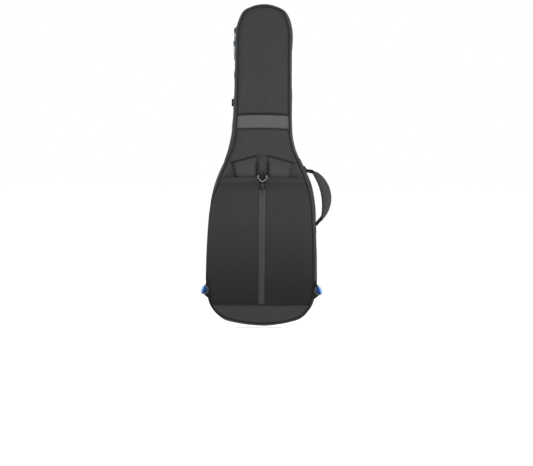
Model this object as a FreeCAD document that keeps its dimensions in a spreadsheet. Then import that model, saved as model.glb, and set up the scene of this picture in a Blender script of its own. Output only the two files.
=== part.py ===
import FreeCAD, Part

import math
import os
import re

from FreeCAD import Placement, Rotation, Vector

# Padded gig bag for an electric guitar, in millimetres.
# +Z runs up the neck, +X to the side with the carry handle, and -Y out of the back,
# where the shoulder straps are. The origin is the strap yoke on the back face.
# Heights in the sheet are measured up from the bottom seam.

SIZES = [
    # the outline, one side, from the bottom centre up
    ("bag_length", 1100.0), ("yoke_height", 580.0), ("body_half", 189.0), ("neck_half", 97.7),
    ("base_angle", 15.5), ("base_corner", 92.0), ("flank_radius", 257.0), ("flank_angle", 17.0),
    ("side_radius", 3400.0), ("side_angle", 4.06), ("shoulder_radius", 400.0), ("slope_angle", 25.0),
    ("waist_radius", 240.0), ("flare_radius", 3500.0), ("flare_angle", 2.5),
    ("arch_radius", 188.0), ("arch_angle", 25.9), ("arch_corner", 46.0), ("crown_angle", 25.6),
    # depths, from the back face at zero towards the front
    ("skin", 2.0), ("foam", 15.0), ("lining", 2.0), ("bag_depth", 102.0),
    ("wall", 10.0), ("wall_inset", 2.0), ("wall_start", 4.2), ("zip_plane", 60.0), ("zip_gap", 0.4),
    ("skin_inset", 12.6), ("board_inset", 12.3), ("tape_inset", 0.9), ("tape_skin", 1.0),
    ("tape_width", 9.6), ("coil_width", 2.4), ("welt_radius", 2.4), ("welt_inset", 9.8), ("welt_depth", 1.6),
    ("flank_top", 155.0), ("waist_level", 671.0),
    ("hinge_bottom", 155.0), ("hinge_top", 345.0), ("hinge_gap", 0.5),
    # the back: panels, strap pocket and its zip
    ("band_top", 721.0), ("band_bottom", 670.0), ("base_seam", 66.5),
    ("chevron_top", 583.0), ("chevron_side", 563.0), ("chevron_inner", 21.5), ("chevron_outer", 109.0),
    ("pocket_top", 492.0), ("hem_height", 15.0), ("pocket_proud", 14.0), ("pocket_cloth", 2.0),
    ("pocket_inset", 13.6), ("pocket_wall", 3.0), ("slot_half", 10.0), ("slot_top", 488.0),
    ("pocket_tape", 1.4), ("pocket_coil", 0.8), ("coil_half", 1.2), ("tape_clear", 0.1), ("coil_short", 20.0),
    ("hem_proud", 0.5), ("over", 1.0),
    # the shoulder straps, stowed behind the pocket panel
    ("strap_thick", 9.4), ("strap_clear", 1.3), ("strap_mouth", 91.0), ("strap_end", 190.0),
    ("strap_tip", 20.0), ("strap_gap", 0.3), ("strap_taper", 40.0), ("strap_centre", 56.0),
    ("webbing_width", 25.0), ("webbing_thick", 1.6),
    ("lock_drop", 15.0), ("web_length", 32.0), ("web_drop", 62.5), ("hook_drop", 63.0),
    # hardware
    ("wire_radius", 1.7), ("ring_half", 15.0), ("ring_leg", 2.0), ("loop_length", 25.0), ("loop_wall", 1.3),
    ("loop_clear", 0.3), ("ring_level", 6.6), ("wing_level", 3.2), ("wing_thick", 2.0), ("wing_leg", 12.0),
    ("ring_hang", 3.5), ("ring_tab_leg", 14.0),
    ("slider_width", 12.0), ("slider_length", 24.0), ("slider_plate", 2.4), ("bail_width", 3.2),
    ("bail_length", 12.0), ("bail_height", 6.8), ("pin_radius", 1.0), ("pin_hole", 1.3), ("pin_level", 4.8),
    ("pin_length", 7.2), ("plate_lift", 0.3), ("pull_thick", 2.0), ("pull_half", 4.6),
    # the carry handle
    ("grip_depth", 26.0), ("handle_level", 27.0), ("handle_roll", 4.0), ("roll_short", 2.5),
    ("anchor_width", 30.0), ("anchor_length", 40.0), ("anchor_thick", 3.0), ("anchor_proud", 1.5),
    ("anchor_gap", 2.0), ("anchor_level", 335.0),
    # the webbing tab on the neck's left wall
    ("tab_bottom", 749.0), ("tab_reach", 8.0), ("tab_thick", 4.4), ("tab_clear", 0.7), ("tab_patch", 1.7),
    ("tab_fold", 3.0),
    # inside the bag
    ("rest_bottom", 702.0), ("rest_height", 56.0), ("rest_half", 78.0), ("rest_depth", 37.0),
    ("cradle_half", 29.0), ("cradle_depth", 22.0), ("end_pad_top", 40.0), ("end_pad_depth", 38.0),
    ("rest_clear", 0.3), ("rest_strap_inset", 10.0), ("rest_strap_width", 38.0),
    # the front pockets
    ("body_pocket_half", 138.0), ("body_pocket_inset", 26.0),
    ("body_pocket_bottom", 60.0), ("body_pocket_top", 470.0),
    ("body_pocket_thick", 10.0), ("neck_pocket_half", 70.0), ("neck_pocket_bottom", 700.0),
    ("neck_pocket_top", 940.0), ("neck_pocket_thick", 7.0), ("pocket_clear", 0.3),
    ("front_zip_width", 22.0), ("front_zip_thick", 1.4), ("body_zip_height", 425.0),
    ("body_zip_half", 118.0), ("neck_zip_side", 48.0), ("neck_zip_inset", 20.0), ("zip_shy", 0.1),
]
CHORD_UPPER = (154.0, 527.0)   # the carry handle swings about the line between these two points,
CHORD_LOWER = (195.0, 355.0)   # given as x and height
GRIP_OUTER = [(173.0, 528.0), (235.3, 444.0), (208.0, 364.0)]
GRIP_INNER = [(171.5, 521.5), (204.0, 440.0), (203.0, 374.0)]
RING_BAR = (200.0, 121.0)      # the middle of the right corner ring's bar, as x and height
RING_TILT = 20.0               # the bar leans outwards by this much, in degrees
WING = [(180.5, 156.0), (185.5, 147.0), (200.0, 109.0), (199.0, 104.5), (186.0, 93.0), (171.0, 86.0),
        (178.5, 120.0)]
ARCH_START = 8.7               # how far round the arch's first arc the upper slider sits, in degrees
PULL_LEAN = 5.0                # the upper pull rests on its slider's lower end, this far from upright
POCKET_SLIDER = 474.5          # the strap pocket's slider and the main zip's lower one, as heights,
LOWER_SLIDER = 968.0           # with the zips closed
BODY_SLIDER_INSET = 18.0       # how far the front pockets' sliders stop short of their zips' ends
NECK_SLIDER_INSET = 42.0
LONG_PULL = (38.0, 22.0)       # pulls, as where the tip starts below the pin and the tip's length
SHORT_PULL = (10.0, 13.0)
FRONT_PULL = (34.0, 20.0)
RIGHT, LEFT = 1, -1
BIG = 2000.0
# trimming blocks reach past the bag on every side
LEFT_OF_BAG, RIGHT_OF_BAG = "0 - 500", "500"
BELOW_BAG, ABOVE_BAG = "0 - 10", "bag_length + 10"
OUT_OF_BACK, RIGHT_THROUGH = "0 - 200", "600"

doc = FreeCAD.newDocument("gig_bag")
sheet = doc.addObject("Spreadsheet::Sheet", "Sizes")
for row, (alias, number) in enumerate(SIZES, start=1):
    sheet.set(f"A{row}", alias)
    sheet.set(f"B{row}", str(number))
    sheet.setAlias(f"B{row}", alias)
doc.recompute()
nodes = {}


def size(alias):
    """A driving dimension, read from the sheet."""
    return float(sheet.get(alias))


def bind(thing, **formulas):
    """Binds properties to the sheet. Words in a formula are the sheet's aliases."""
    for path, formula in formulas.items():
        path = path.replace("base_", "Placement.Base.")
        thing.setExpression(path, re.sub(r"[a-z]\w*", lambda m: "Sizes." + m.group(), str(formula)))
    return thing


def up(height):
    """The Z coordinate of a height above the bottom seam."""
    return height - size("yoke_height")


def keep(name, thing):
    """Makes thing the sub-part called name."""
    thing.Label = name
    nodes[name] = thing
    return thing


# ---------------------------------------------------------------- general shapes


def box(name, length, width, height, x="0", y="0", z="0"):
    made = doc.addObject("Part::Box", name)
    return bind(made, Length=length, Width=width, Height=height, base_x=x, base_y=y, base_z=z)


def cut(name, base, tool):
    made = doc.addObject("Part::Cut", name)
    made.Base, made.Tool = base, tool
    return made


def common(name, base, tool):
    made = doc.addObject("Part::Common", name)
    made.Base, made.Tool = base, tool
    return made


def fuse(name, *things):
    made = doc.addObject("Part::MultiFuse", name)
    made.Shapes = list(things)
    return made


def group(name, *things):
    made = doc.addObject("Part::Compound", name)
    made.Links = list(things)
    return made


def plain(name, shape):
    """A Part::Feature for a shape that no sketch or primitive fits."""
    made = doc.addObject("Part::Feature", name)
    made.Shape = shape
    return made


def extrude(name, face, depth, y="0"):
    """Extrudes a flat face that lies in the XZ plane towards +Y, starting at y."""
    made = doc.addObject("Part::Extrusion", name)
    made.Base, made.DirMode, made.Dir, made.Solid = face, "Custom", Vector(0, 1, 0), True
    return bind(made, LengthFwd=depth, base_y=y)


def polygon(name, points):
    """A flat face in the XZ plane from (x, height) points."""
    corners = [Vector(x, 0, up(height)) for x, height in points]
    return plain(name, Part.Face(Part.makePolygon(corners + corners[:1])))


# ---------------------------------------------------------------- the outline


def half_outline():
    """The right side from the bottom centre to the top, as (x, height, heading, radius, turn).

    Each entry starts a stretch. radius 0 is a straight stretch, and a negative turn is concave.
    """
    slope, flare = size("slope_angle"), size("flare_angle")
    base, flank, side = size("base_angle"), size("flank_angle"), size("side_angle")
    arch, crown = size("arch_angle"), size("crown_angle")

    def run(radius, start, end):
        """How far x and the height move along an arc between two headings."""
        a, b = math.radians(start), math.radians(end)
        return radius * (math.sin(b) - math.sin(a)), radius * (math.cos(a) - math.cos(b))

    corner = run(size("base_corner"), base, 90 - flank)
    flanks = run(size("flank_radius"), 90 - flank, 90)
    base_radius = (size("body_half") - corner[0] - flanks[0]) / math.sin(math.radians(base))
    lower = [
        (base_radius, base), (size("base_corner"), 90 - flank - base), (size("flank_radius"), flank),
        (size("side_radius"), side), (size("shoulder_radius"), slope - side),
    ]
    waist = [(size("waist_radius"), flare - slope), (size("flare_radius"), -flare)]
    corner_turn = 90 - arch - crown
    arch_in = run(size("arch_radius"), 90, 90 + arch)
    corner_in = run(size("arch_corner"), 90 + arch, 90 + arch + corner_turn)
    crown_radius = (size("neck_half") + arch_in[0] + corner_in[0]) / math.sin(math.radians(crown))
    upper = [(size("arch_radius"), arch), (size("arch_corner"), corner_turn), (crown_radius, crown)]

    def travel(stretches, heading):
        x = height = 0.0
        for radius, turn in stretches:
            dx, dh = run(math.copysign(radius, turn), heading, heading + turn)
            x, height, heading = x + dx, height + dh, heading + turn
        return x, height

    low, mid, top = travel(lower, 0), travel(waist, 90 + slope), travel(upper, 90)
    slant = (low[0] + mid[0] - size("neck_half")) / math.sin(math.radians(slope))
    rise = slant * math.cos(math.radians(slope))
    straight = size("bag_length") - low[1] - rise - mid[1] - top[1]
    made, x, height, heading = [], 0.0, 0.0, 0.0
    for radius, turn in [*lower, (0, slant), *waist, (0, straight), *upper]:
        made.append((x, height, heading, radius, turn))
        if radius:
            dx, dh = run(math.copysign(radius, turn), heading, heading + turn)
            heading += turn
        else:
            dx = turn * math.cos(math.radians(heading))
            dh = turn * math.sin(math.radians(heading))
        x, height = x + dx, height + dh
    return made


OUTLINE = half_outline()


def outline_wire(inset):
    """The bag's outline, moved in by inset, as a closed wire in the XZ plane."""
    edges = []
    for x, height, heading, radius, turn in OUTLINE:
        points = []
        for share in (0.0, 0.5, 1.0):
            if radius:
                bend = math.copysign(radius, turn)
                now = math.radians(heading + share * turn)
                then = math.radians(heading)
                px = x + bend * (math.sin(now) - math.sin(then)) - inset * math.sin(now)
                ph = height + bend * (math.cos(then) - math.cos(now)) + inset * math.cos(now)
            else:
                now = math.radians(heading)
                px = x + share * turn * math.cos(now) - inset * math.sin(now)
                ph = height + share * turn * math.sin(now) + inset * math.cos(now)
            points.append((px, ph))
        for side in (RIGHT, LEFT):
            a, b, c = (Vector(side * px, 0, up(ph)) for px, ph in points)
            edges.append(Part.Arc(a, b, c).toShape() if radius else Part.makeLine(a, c))
    return Part.Wire(Part.__sortEdges__(edges))


def outline_face(inset_alias):
    """The flat face inside the outline, made once for each inset."""
    name = "face_" + inset_alias.replace(" ", "").replace("+", "_plus_").replace("-", "_less_")
    found = doc.getObject(name)
    if found:
        return found
    inset = sum(size(word) for word in inset_alias.split(" + "))
    return plain(name, Part.Face(outline_wire(inset)))


def slab(name, inset, depth, y):
    return extrude(name, outline_face(inset), depth, y)


def ring(name, outer, inner, depth, y):
    """A wall that follows the outline, between two insets."""
    return cut(name, slab(name + "_outer", outer, depth, y), slab(name + "_inner", inner, depth, y))


def span(name, bottom, top, left=LEFT_OF_BAG, right=RIGHT_OF_BAG):
    """A block across the bag between two heights, for trimming."""
    return box(name, f"{right} - ({left})", RIGHT_THROUGH, f"{top} - ({bottom})",
               left, OUT_OF_BACK, f"{bottom} - yoke_height")


def band(name, thing, bottom, top, left=LEFT_OF_BAG, right=RIGHT_OF_BAG):
    """The stretch of thing between two heights."""
    return common(name, thing, span(name + "_span", bottom, top, left, right))


# ---------------------------------------------------------------- shell: boards, walls, skins


def boards():
    """The foam boards and linings that stiffen the back and the front lid."""
    keep("back_foam", slab("back_foam", "board_inset", "foam", "skin"))
    keep("back_lining", slab("back_lining", "board_inset", "lining", "skin + foam"))
    keep("front_foam", slab("front_foam", "board_inset", "foam", "bag_depth - skin - foam"))
    keep("front_lining", slab("front_lining", "board_inset", "lining", "bag_depth - skin - foam - lining"))


def walls():
    """The padded gusset, parted at the main zip into a back wall and a lid wall."""
    back = ring("wall_back", "wall_inset", "wall_inset + wall", "zip_plane - zip_gap / 2 - wall_start",
                "wall_start")
    keep("gusset_bottom", band("gusset_bottom", back, BELOW_BAG, "flank_top"))
    keep("gusset_left", band("gusset_left", back, "flank_top", "waist_level", right="0"))
    keep("gusset_right", band("gusset_right", back, "flank_top", "waist_level", left="0"))
    keep("gusset_neck", band("gusset_neck", back, "waist_level", ABOVE_BAG))
    lid = ring("wall_lid", "wall_inset", "wall_inset + wall",
               "bag_depth - wall_start - zip_plane - zip_gap / 2", "zip_plane + zip_gap / 2")
    keep("lid_gusset_body", band("lid_gusset_body", lid, BELOW_BAG, "waist_level"))
    keep("lid_gusset_neck", band("lid_gusset_neck", lid, "waist_level", ABOVE_BAG))


def main_zip():
    """The main zip's two halves, open along the left flank where the lid hinges."""
    hinge_side = "0 - 100"
    hinge = span("hinge_stretch", "hinge_bottom", "hinge_top", right=hinge_side)
    for side, start, coil in (("back", "zip_plane - zip_gap - tape_width", "zip_plane - zip_gap - coil_width"),
                              ("front", "zip_plane + zip_gap", "zip_plane + zip_gap")):
        tape = ring(f"tape_{side}", "tape_inset", "tape_inset + tape_skin", "tape_width", start)
        teeth = cut(f"teeth_{side}", slab(f"teeth_{side}_outer", "zero_inset", "coil_width", coil),
                    slab(f"teeth_{side}_inner", "tape_inset", "coil_width", coil))
        half = fuse(f"zip_half_{side}", tape, teeth)
        keep(f"main_zip_{side}", cut(f"main_zip_{side}", half, hinge))
    cloth = ring("hinge_cloth", "tape_inset", "tape_inset + tape_skin", "tape_width",
                 "zip_plane - zip_gap - tape_width")
    keep("hinge_gusset", common("hinge_gusset", cloth,
                                span("hinge_cloth_span", "hinge_bottom + hinge_gap", "hinge_top - hinge_gap",
                                     right=hinge_side)))


def piping(name, level):
    """The corded welt in a seam, a round cord along the outline."""
    path = outline_wire(size("welt_inset"))
    path.translate(Vector(0, level, 0))
    start = path.OrderedVertexes[0].Point
    tangent = path.OrderedEdges[0].tangentAt(path.OrderedEdges[0].FirstParameter)
    circle = Part.Wire(Part.Circle(start, tangent, size("welt_radius")).toShape())
    sweep = Part.BRepOffsetAPI.MakePipeShell(path)
    sweep.setBiNormalMode(Vector(0, 1, 0))
    sweep.add(circle)
    sweep.build()
    sweep.makeSolid()
    keep(name, plain(name, sweep.shape()))


def back_skins():
    """The outer fabric panels of the back, which meet edge to edge."""
    skin = slab("back_skin", "skin_inset", "skin", "0")
    keep("neck_panel", band("neck_panel", skin, "band_top", ABOVE_BAG))
    keep("trim_band", band("trim_band", skin, "band_bottom", "band_top"))
    keep("bottom_panel", band("bottom_panel", skin, BELOW_BAG, "base_seam"))
    middle = band("middle_skin", skin, "base_seam", "band_bottom")
    top, side = size("chevron_top"), size("chevron_side")
    inner, outer = size("chevron_inner"), size("chevron_outer")
    above = polygon("above_chevron", [
        (-BIG, side), (-outer, side), (-inner, top), (inner, top), (outer, side), (BIG, side),
        (BIG, BIG), (-BIG, BIG)])
    yoke = extrude("above_chevron_block", above, "skin * 3", "0 - skin")
    keep("yoke_panel", common("yoke_panel", middle, yoke))
    keep("strap_bay_panel", cut("strap_bay_panel", middle, yoke))
    keep("front_panel", slab("front_panel", "skin_inset", "skin", "bag_depth - skin"))


# ---------------------------------------------------------------- the strap pocket


def strap_pocket():
    """The cover over the stowed straps: a shallow tray, open at the top, split by a zip."""
    shell = band("pocket_shell", slab("pocket_block", "pocket_inset", "pocket_proud", "0 - pocket_proud"),
                 "base_seam", "pocket_top")
    room = band("pocket_room",
                slab("pocket_hollow", "pocket_inset + pocket_wall", "pocket_proud - pocket_cloth",
                     "pocket_cloth - pocket_proud"),
                "base_seam + pocket_wall", "pocket_top + over")
    slot = box("zip_slot", "2 * slot_half", "pocket_proud + 2 * over", "slot_top - base_seam - pocket_wall",
               "0 - slot_half", "0 - pocket_proud - over", "base_seam + pocket_wall - yoke_height")
    tray = cut("pocket_tray", cut("pocket_open", shell, room), slot)
    keep("pocket_panel_left", band("pocket_panel_left", tray, "0", "pocket_top + over", right="0"))
    keep("pocket_panel_right", band("pocket_panel_right", tray, "0", "pocket_top + over", left="0"))

    hem_slab = slab("hem_slab", "pocket_inset + pocket_wall", "pocket_cloth + 2 * hem_proud",
                    "0 - pocket_proud - hem_proud")
    keep("pocket_hem", band("pocket_hem", hem_slab, "pocket_top", "pocket_top + hem_height"))

    tape = box("pocket_tape", "2 * slot_half - 2 * tape_clear", "pocket_tape",
               "slot_top - base_seam - pocket_wall", "tape_clear - slot_half", "0 - pocket_proud",
               "base_seam + pocket_wall - yoke_height")
    coil = box("pocket_coil", "2 * coil_half", "pocket_coil", "slot_top - base_seam - pocket_wall - coil_short",
               "0 - coil_half", "0 - pocket_proud - pocket_coil", "base_seam + pocket_wall - yoke_height")
    keep("pocket_zip_tape", fuse("pocket_zip_tape", tape, coil))


def strap(name, side):
    """A padded shoulder strap, thin where the yoke seam holds it and tapered at its lower end."""
    gap, centre, tip = size("strap_gap"), size("strap_centre"), size("strap_tip")
    inner = size("chevron_inner") + gap
    taper_top = size("strap_end") + size("strap_taper")
    outline = [
        (inner, size("chevron_top") - gap), (size("chevron_outer") - size("over"), size("chevron_side") - gap),
        (size("strap_mouth"), size("pocket_top") + size("hem_height")),
        (size("strap_mouth"), taper_top), (centre + tip, size("strap_end")),
        (centre - tip, size("strap_end")), (inner, taper_top),
    ]
    face = polygon(name + "_face", [(side * x, height) for x, height in outline])
    body = extrude(name + "_body", face, "strap_thick", "0 - strap_clear - strap_thick")
    pinched, far, drop, rise, reach = 3.0, 20.0, 34.0, 6.0, 200.0
    wedge_side = [(-far, 0.0), (-size("strap_clear") - pinched, 0.0), (-far, -drop)]
    corners = [Vector(-reach, y, up(size("chevron_top") + rise + z)) for y, z in wedge_side]
    side_face = Part.Face(Part.makePolygon(corners + corners[:1]))
    wedge = plain(name + "_pinch", side_face.extrude(Vector(2 * reach, 0, 0)))
    keep(name, cut(name, body, wedge))


def strap_ends():
    """What hangs below each stowed strap: an adjuster, a length of webbing and a snap hook."""
    centre = size("strap_centre")
    level = size("strap_clear") + size("strap_thick") / 2
    end = size("strap_end")
    locks, webs, hooks = [], [], []
    for side in (LEFT, RIGHT):
        tag = "left" if side == LEFT else "right"
        lock = buckle(f"ladder_lock_{tag}")
        lock.Placement = Placement(Vector(side * centre, -level, up(end - size("lock_drop"))),
                                   Rotation(Vector(1, 0, 0), 90))
        locks.append(lock)
        web = box(f"strap_web_{tag}", "webbing_width", "webbing_thick", "web_length")
        bind(web, base_x=f"{side * centre} - webbing_width / 2",
             base_y="0 - strap_clear - strap_thick / 2 - webbing_thick / 2",
             base_z="strap_end - web_drop - yoke_height")
        webs.append(web)
        hooks.append(snap_hook(f"snap_hook_{tag}", side * centre, -level, up(end - size("hook_drop"))))
    keep("ladder_locks", group("ladder_locks", *locks))
    keep("strap_webbings", group("strap_webbings", *webs))
    keep("snap_hooks", group("snap_hooks", *hooks))


def snap_hook(name, x, y, top):
    """A snap hook: a bar for the webbing, a short neck and a round hook."""
    wire, bar_length, bar_drop, bow_radius, bow_drop = 2.0, 30.0, 2.2, 9.0, 20.5
    neck_radius, neck_length, neck_drop = 3.0, 9.0, 12.0
    bar = doc.addObject("Part::Cylinder", name + "_bar")
    bar.Radius, bar.Height = wire, bar_length
    bar.Placement = Placement(Vector(x - bar_length / 2, y, top - bar_drop), Rotation(Vector(0, 1, 0), 90))
    neck = doc.addObject("Part::Cylinder", name + "_neck")
    neck.Radius, neck.Height = neck_radius, neck_length
    neck.Placement = Placement(Vector(x, y, top - neck_drop), Rotation())
    bow = doc.addObject("Part::Torus", name + "_bow")
    bow.Radius1, bow.Radius2 = bow_radius, wire
    bow.Placement = Placement(Vector(x, y, top - bow_drop), Rotation(Vector(1, 0, 0), 90))
    return fuse(name, bar, neck, bow)


# ---------------------------------------------------------------- sketches and bodies


def body_sketch(body, role, loops, offset=0.0):
    """A sketch on one of the body's origin planes. A loop is a point list or (centre, radius)."""
    sketch = body.newObject("Sketcher::SketchObject", body.Name + "_sketch")
    plane = next(p for p in body.Origin.OriginFeatures if p.Role == role)
    sketch.AttachmentSupport, sketch.MapMode = [(plane, "")], "FlatFace"
    sketch.AttachmentOffset = Placement(Vector(0, 0, offset), Rotation())
    for loop in loops:
        if isinstance(loop, tuple):
            sketch.addGeometry(Part.Circle(Vector(*loop[0], 0), Vector(0, 0, 1), loop[1]))
        else:
            for a, b in zip(loop, loop[1:] + loop[:1]):
                sketch.addGeometry(Part.LineSegment(Vector(*a, 0), Vector(*b, 0)))
    return sketch


def pad(body, loops, length, offset=0.0, role="XY_Plane", midplane=False):
    feature = body.newObject("PartDesign::Pad", body.Name + "_pad")
    feature.Profile = body_sketch(body, role, loops, offset)
    feature.Midplane = midplane
    bind(feature, Length=length)
    doc.recompute()
    return feature


def pocket(body, loops, length, offset=0.0, role="XY_Plane", midplane=False):
    """Cuts loops out of the body, and stops if nothing was removed."""
    before = body.Shape.Volume
    feature = body.newObject("PartDesign::Pocket", body.Name + "_pocket")
    feature.Profile = body_sketch(body, role, loops, offset)
    feature.Midplane = midplane
    bind(feature, Length=length)
    doc.recompute()
    if body.Shape.Volume > before - 1e-3:
        raise ValueError(f"a pocket in {body.Name} cuts nothing")
    return feature


def rectangle(half_x, low_y, high_y):
    return [(-half_x, low_y), (half_x, low_y), (half_x, high_y), (-half_x, high_y)]


def new_body(name):
    return doc.addObject("PartDesign::Body", name)


def buckle(name):
    """A ladder-lock adjuster: a flat frame with two slots for the webbing."""
    made = new_body(name)
    half, long, slot_half = 17.0, 12.0, 13.0
    slots = [(-8.5, -3.5), (2.0, 8.5)]
    pad(made, [rectangle(half, -long, long)], "webbing_thick * 3", midplane=True)
    pocket(made, [rectangle(slot_half, low, high) for low, high in slots], RIGHT_THROUGH, midplane=True)
    return made


def slider(name, placement):
    """A zip slider: a tapered plate with a bail whose hole takes the pull's pin."""
    made = new_body(name)
    half, long = size("slider_width") / 2, size("slider_length") / 2
    nose, shoulder = half * 0.6, long * 0.7
    plate = [(-nose, -long), (nose, -long), (half, 0), (half, shoulder), (nose, long),
             (-nose, long), (-half, shoulder), (-half, 0)]
    lift = size("plate_lift")
    pad(made, [plate], "slider_plate", offset=lift)
    reach = size("bail_length") / 2
    pad(made, [rectangle(size("bail_width") / 2, -reach, reach)], "bail_height - plate_lift", offset=lift)
    hole = [((0.0, size("pin_level")), size("pin_hole"))]
    pocket(made, hole, "bail_width * 3", role="YZ_Plane", midplane=True)
    made.Placement = placement
    return keep(name, made)


def pull(name, placement, reach, tip, shift=0.0, tip_half=size("pull_half")):
    """A zip pull: a pin through the bail, two arms, a narrow neck and a tip that hangs along -Y.

    reach is where the tip starts and tip its length. shift moves the tip to one side.
    """
    made = new_body(name)
    arm_out, yoke_end = pull_yoke(made)
    cord_half, corner, end = 1.8, 2.0, -reach - tip
    left, right = shift - tip_half, shift + tip_half
    tag = [(-arm_out, -yoke_end), (arm_out, -yoke_end), (shift + cord_half, -reach), (right, -reach - corner),
           (right, end + corner), (right - corner, end), (left + corner, end), (left, end + corner),
           (left, -reach - corner), (shift - cord_half, -reach)]
    pad(made, [tag], "pull_thick", offset=size("pin_level") - size("pull_thick") / 2)
    made.Placement = placement
    return keep(name, made)


def pull_yoke(made):
    """A pull's pin and the two arms beside the bail. Gives the arms' outside and their end."""
    arm_in, arm_out, arm_top, yoke_end = 2.1, 3.6, 1.0, 9.0
    level = size("pin_level")
    pad(made, [((0.0, level), size("pin_radius"))], "pin_length", role="YZ_Plane", midplane=True)
    arms = [[(s * arm_in, -yoke_end), (s * arm_out, -yoke_end), (s * arm_out, arm_top), (s * arm_in, arm_top)]
            for s in (LEFT, RIGHT)]
    pad(made, arms, "pull_thick", offset=level - size("pull_thick") / 2)
    return arm_out, yoke_end


def drooping_pull(name, placement, reach, tip):
    """A pull on a level zip: its cord has flopped over sideways and hangs along -X."""
    made = new_body(name)
    arm_out, yoke_end = pull_yoke(made)
    cord, corner, end = 3.6, 2.0, -reach - tip
    middle = -yoke_end - cord / 2
    low, high = middle - size("pull_half"), middle + size("pull_half")
    bar = [(-arm_out, -yoke_end), (arm_out, -yoke_end), (arm_out, -yoke_end - cord), (-reach, -yoke_end - cord),
           (-reach - corner, low), (end, low), (end, high), (-reach - corner, high), (-reach, -yoke_end)]
    pad(made, [bar], "pull_thick", offset=size("pin_level") - size("pull_thick") / 2)
    made.Placement = placement
    return keep(name, made)


def facing(x, y, z, along, out):
    """A placement whose local Y runs along the zip and whose local Z points out of the bag."""
    return Placement(Vector(x, y, z), Rotation(along.cross(out), along, out, "ZYX"))


def zip_hardware():
    """The sliders and pulls of the four zips."""
    up_axis, out_back = Vector(0, 0, 1), Vector(0, -1, 0)
    out_left, out_front = Vector(-1, 0, 0), Vector(0, 1, 0)

    place = facing(0, -size("pocket_proud") - size("pocket_coil"), up(POCKET_SLIDER), up_axis, out_back)
    slider("pocket_slider", place)
    pull("pocket_pull", place, *SHORT_PULL, tip_half=3.6)

    neck, plane = -size("neck_half"), size("zip_plane")
    lower = facing(neck, plane, up(LOWER_SLIDER), up_axis, out_left)
    slider("main_slider_lower", lower)
    pull("main_pull_lower", lower, *LONG_PULL)

    # the upper slider sits on the arch's first arc, a little way round from its start
    start = next(entry for entry in OUTLINE if entry[3] == size("arch_radius"))
    centre = Vector(size("arch_radius") - size("neck_half"), plane, up(start[1]))
    round_by = Rotation(Vector(0, 1, 0), ARCH_START)
    base = facing(neck, plane, up(start[1]), up_axis, out_left)
    moved = Placement(centre + round_by.multVec(base.Base - centre), round_by.multiply(base.Rotation))
    slider("main_slider_upper", moved)
    pin = moved.multVec(Vector(0, 0, size("pin_level")))
    lean = Rotation(Vector(0, 1, 0), PULL_LEAN)
    upright = facing(0, 0, 0, up_axis, out_left).Rotation
    from_pin = Placement(Vector(0, 0, -size("pin_level")), Rotation())
    hang = Placement(pin, lean.multiply(upright)).multiply(from_pin)
    pull("main_pull_upper", hang, *LONG_PULL, shift=11.0)

    front = size("bag_depth") + size("pocket_clear") + size("front_zip_thick")
    body_face = front + size("body_pocket_thick")
    place = facing(size("body_zip_half") - BODY_SLIDER_INSET, body_face, up(size("body_zip_height")),
                   Vector(1, 0, 0), out_front)
    slider("body_pocket_slider", place)
    drooping_pull("body_pocket_pull", place, *FRONT_PULL)

    neck_face = front + size("neck_pocket_thick")
    slider_level = size("neck_pocket_top") - NECK_SLIDER_INSET
    place = facing(-size("neck_zip_side"), neck_face, up(slider_level), up_axis, out_front)
    slider("neck_pocket_slider", place)
    pull("neck_pocket_pull", place, *FRONT_PULL)


# ---------------------------------------------------------------- rings, wings and loops


def ring_frame(side):
    """Where a corner ring lies: its bar's middle, the bar's direction and the way it folds in."""
    lean = math.radians(RING_TILT)
    middle = Vector(side * RING_BAR[0], -size("ring_level"), up(RING_BAR[1]))
    along = Vector(side * math.sin(lean), 0, -math.cos(lean))
    inwards = Vector(-side * math.cos(lean), 0, -math.sin(lean))
    return middle, along, inwards


def d_ring(name, middle, along, fold):
    """A wire D-ring: a straight bar, two short legs and a half round."""
    half, leg = size("ring_half"), size("ring_leg")
    turn = Rotation(along, fold, along.cross(fold), "XYZ")
    pieces = []

    def rod(tag, start, direction, length):
        made = doc.addObject("Part::Cylinder", f"{name}_{tag}")
        aim = Rotation(Vector(0, 0, 1), turn.multVec(direction))
        made.Placement = Placement(middle + turn.multVec(start), aim)
        bind(made, Radius="wire_radius", Height=length)
        pieces.append(made)

    rod("bar", Vector(-half, 0, 0), Vector(1, 0, 0), "2 * ring_half")
    for side in (LEFT, RIGHT):
        rod(f"leg_{side + 1}", Vector(side * half, 0, 0), Vector(0, 1, 0), "ring_leg")
        ball = doc.addObject("Part::Sphere", f"{name}_corner_{side + 1}")
        ball.Placement = Placement(middle + turn.multVec(Vector(side * half, 0, 0)), Rotation())
        bind(ball, Radius="wire_radius")
        pieces.append(ball)
    bow = doc.addObject("Part::Torus", f"{name}_bow")
    bow.Angle3 = 180
    bow.Placement = Placement(middle + turn.multVec(Vector(0, leg, 0)), turn)
    bind(bow, Radius1="ring_half", Radius2="wire_radius")
    pieces.append(bow)
    return keep(name, fuse(name, *pieces))


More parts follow.
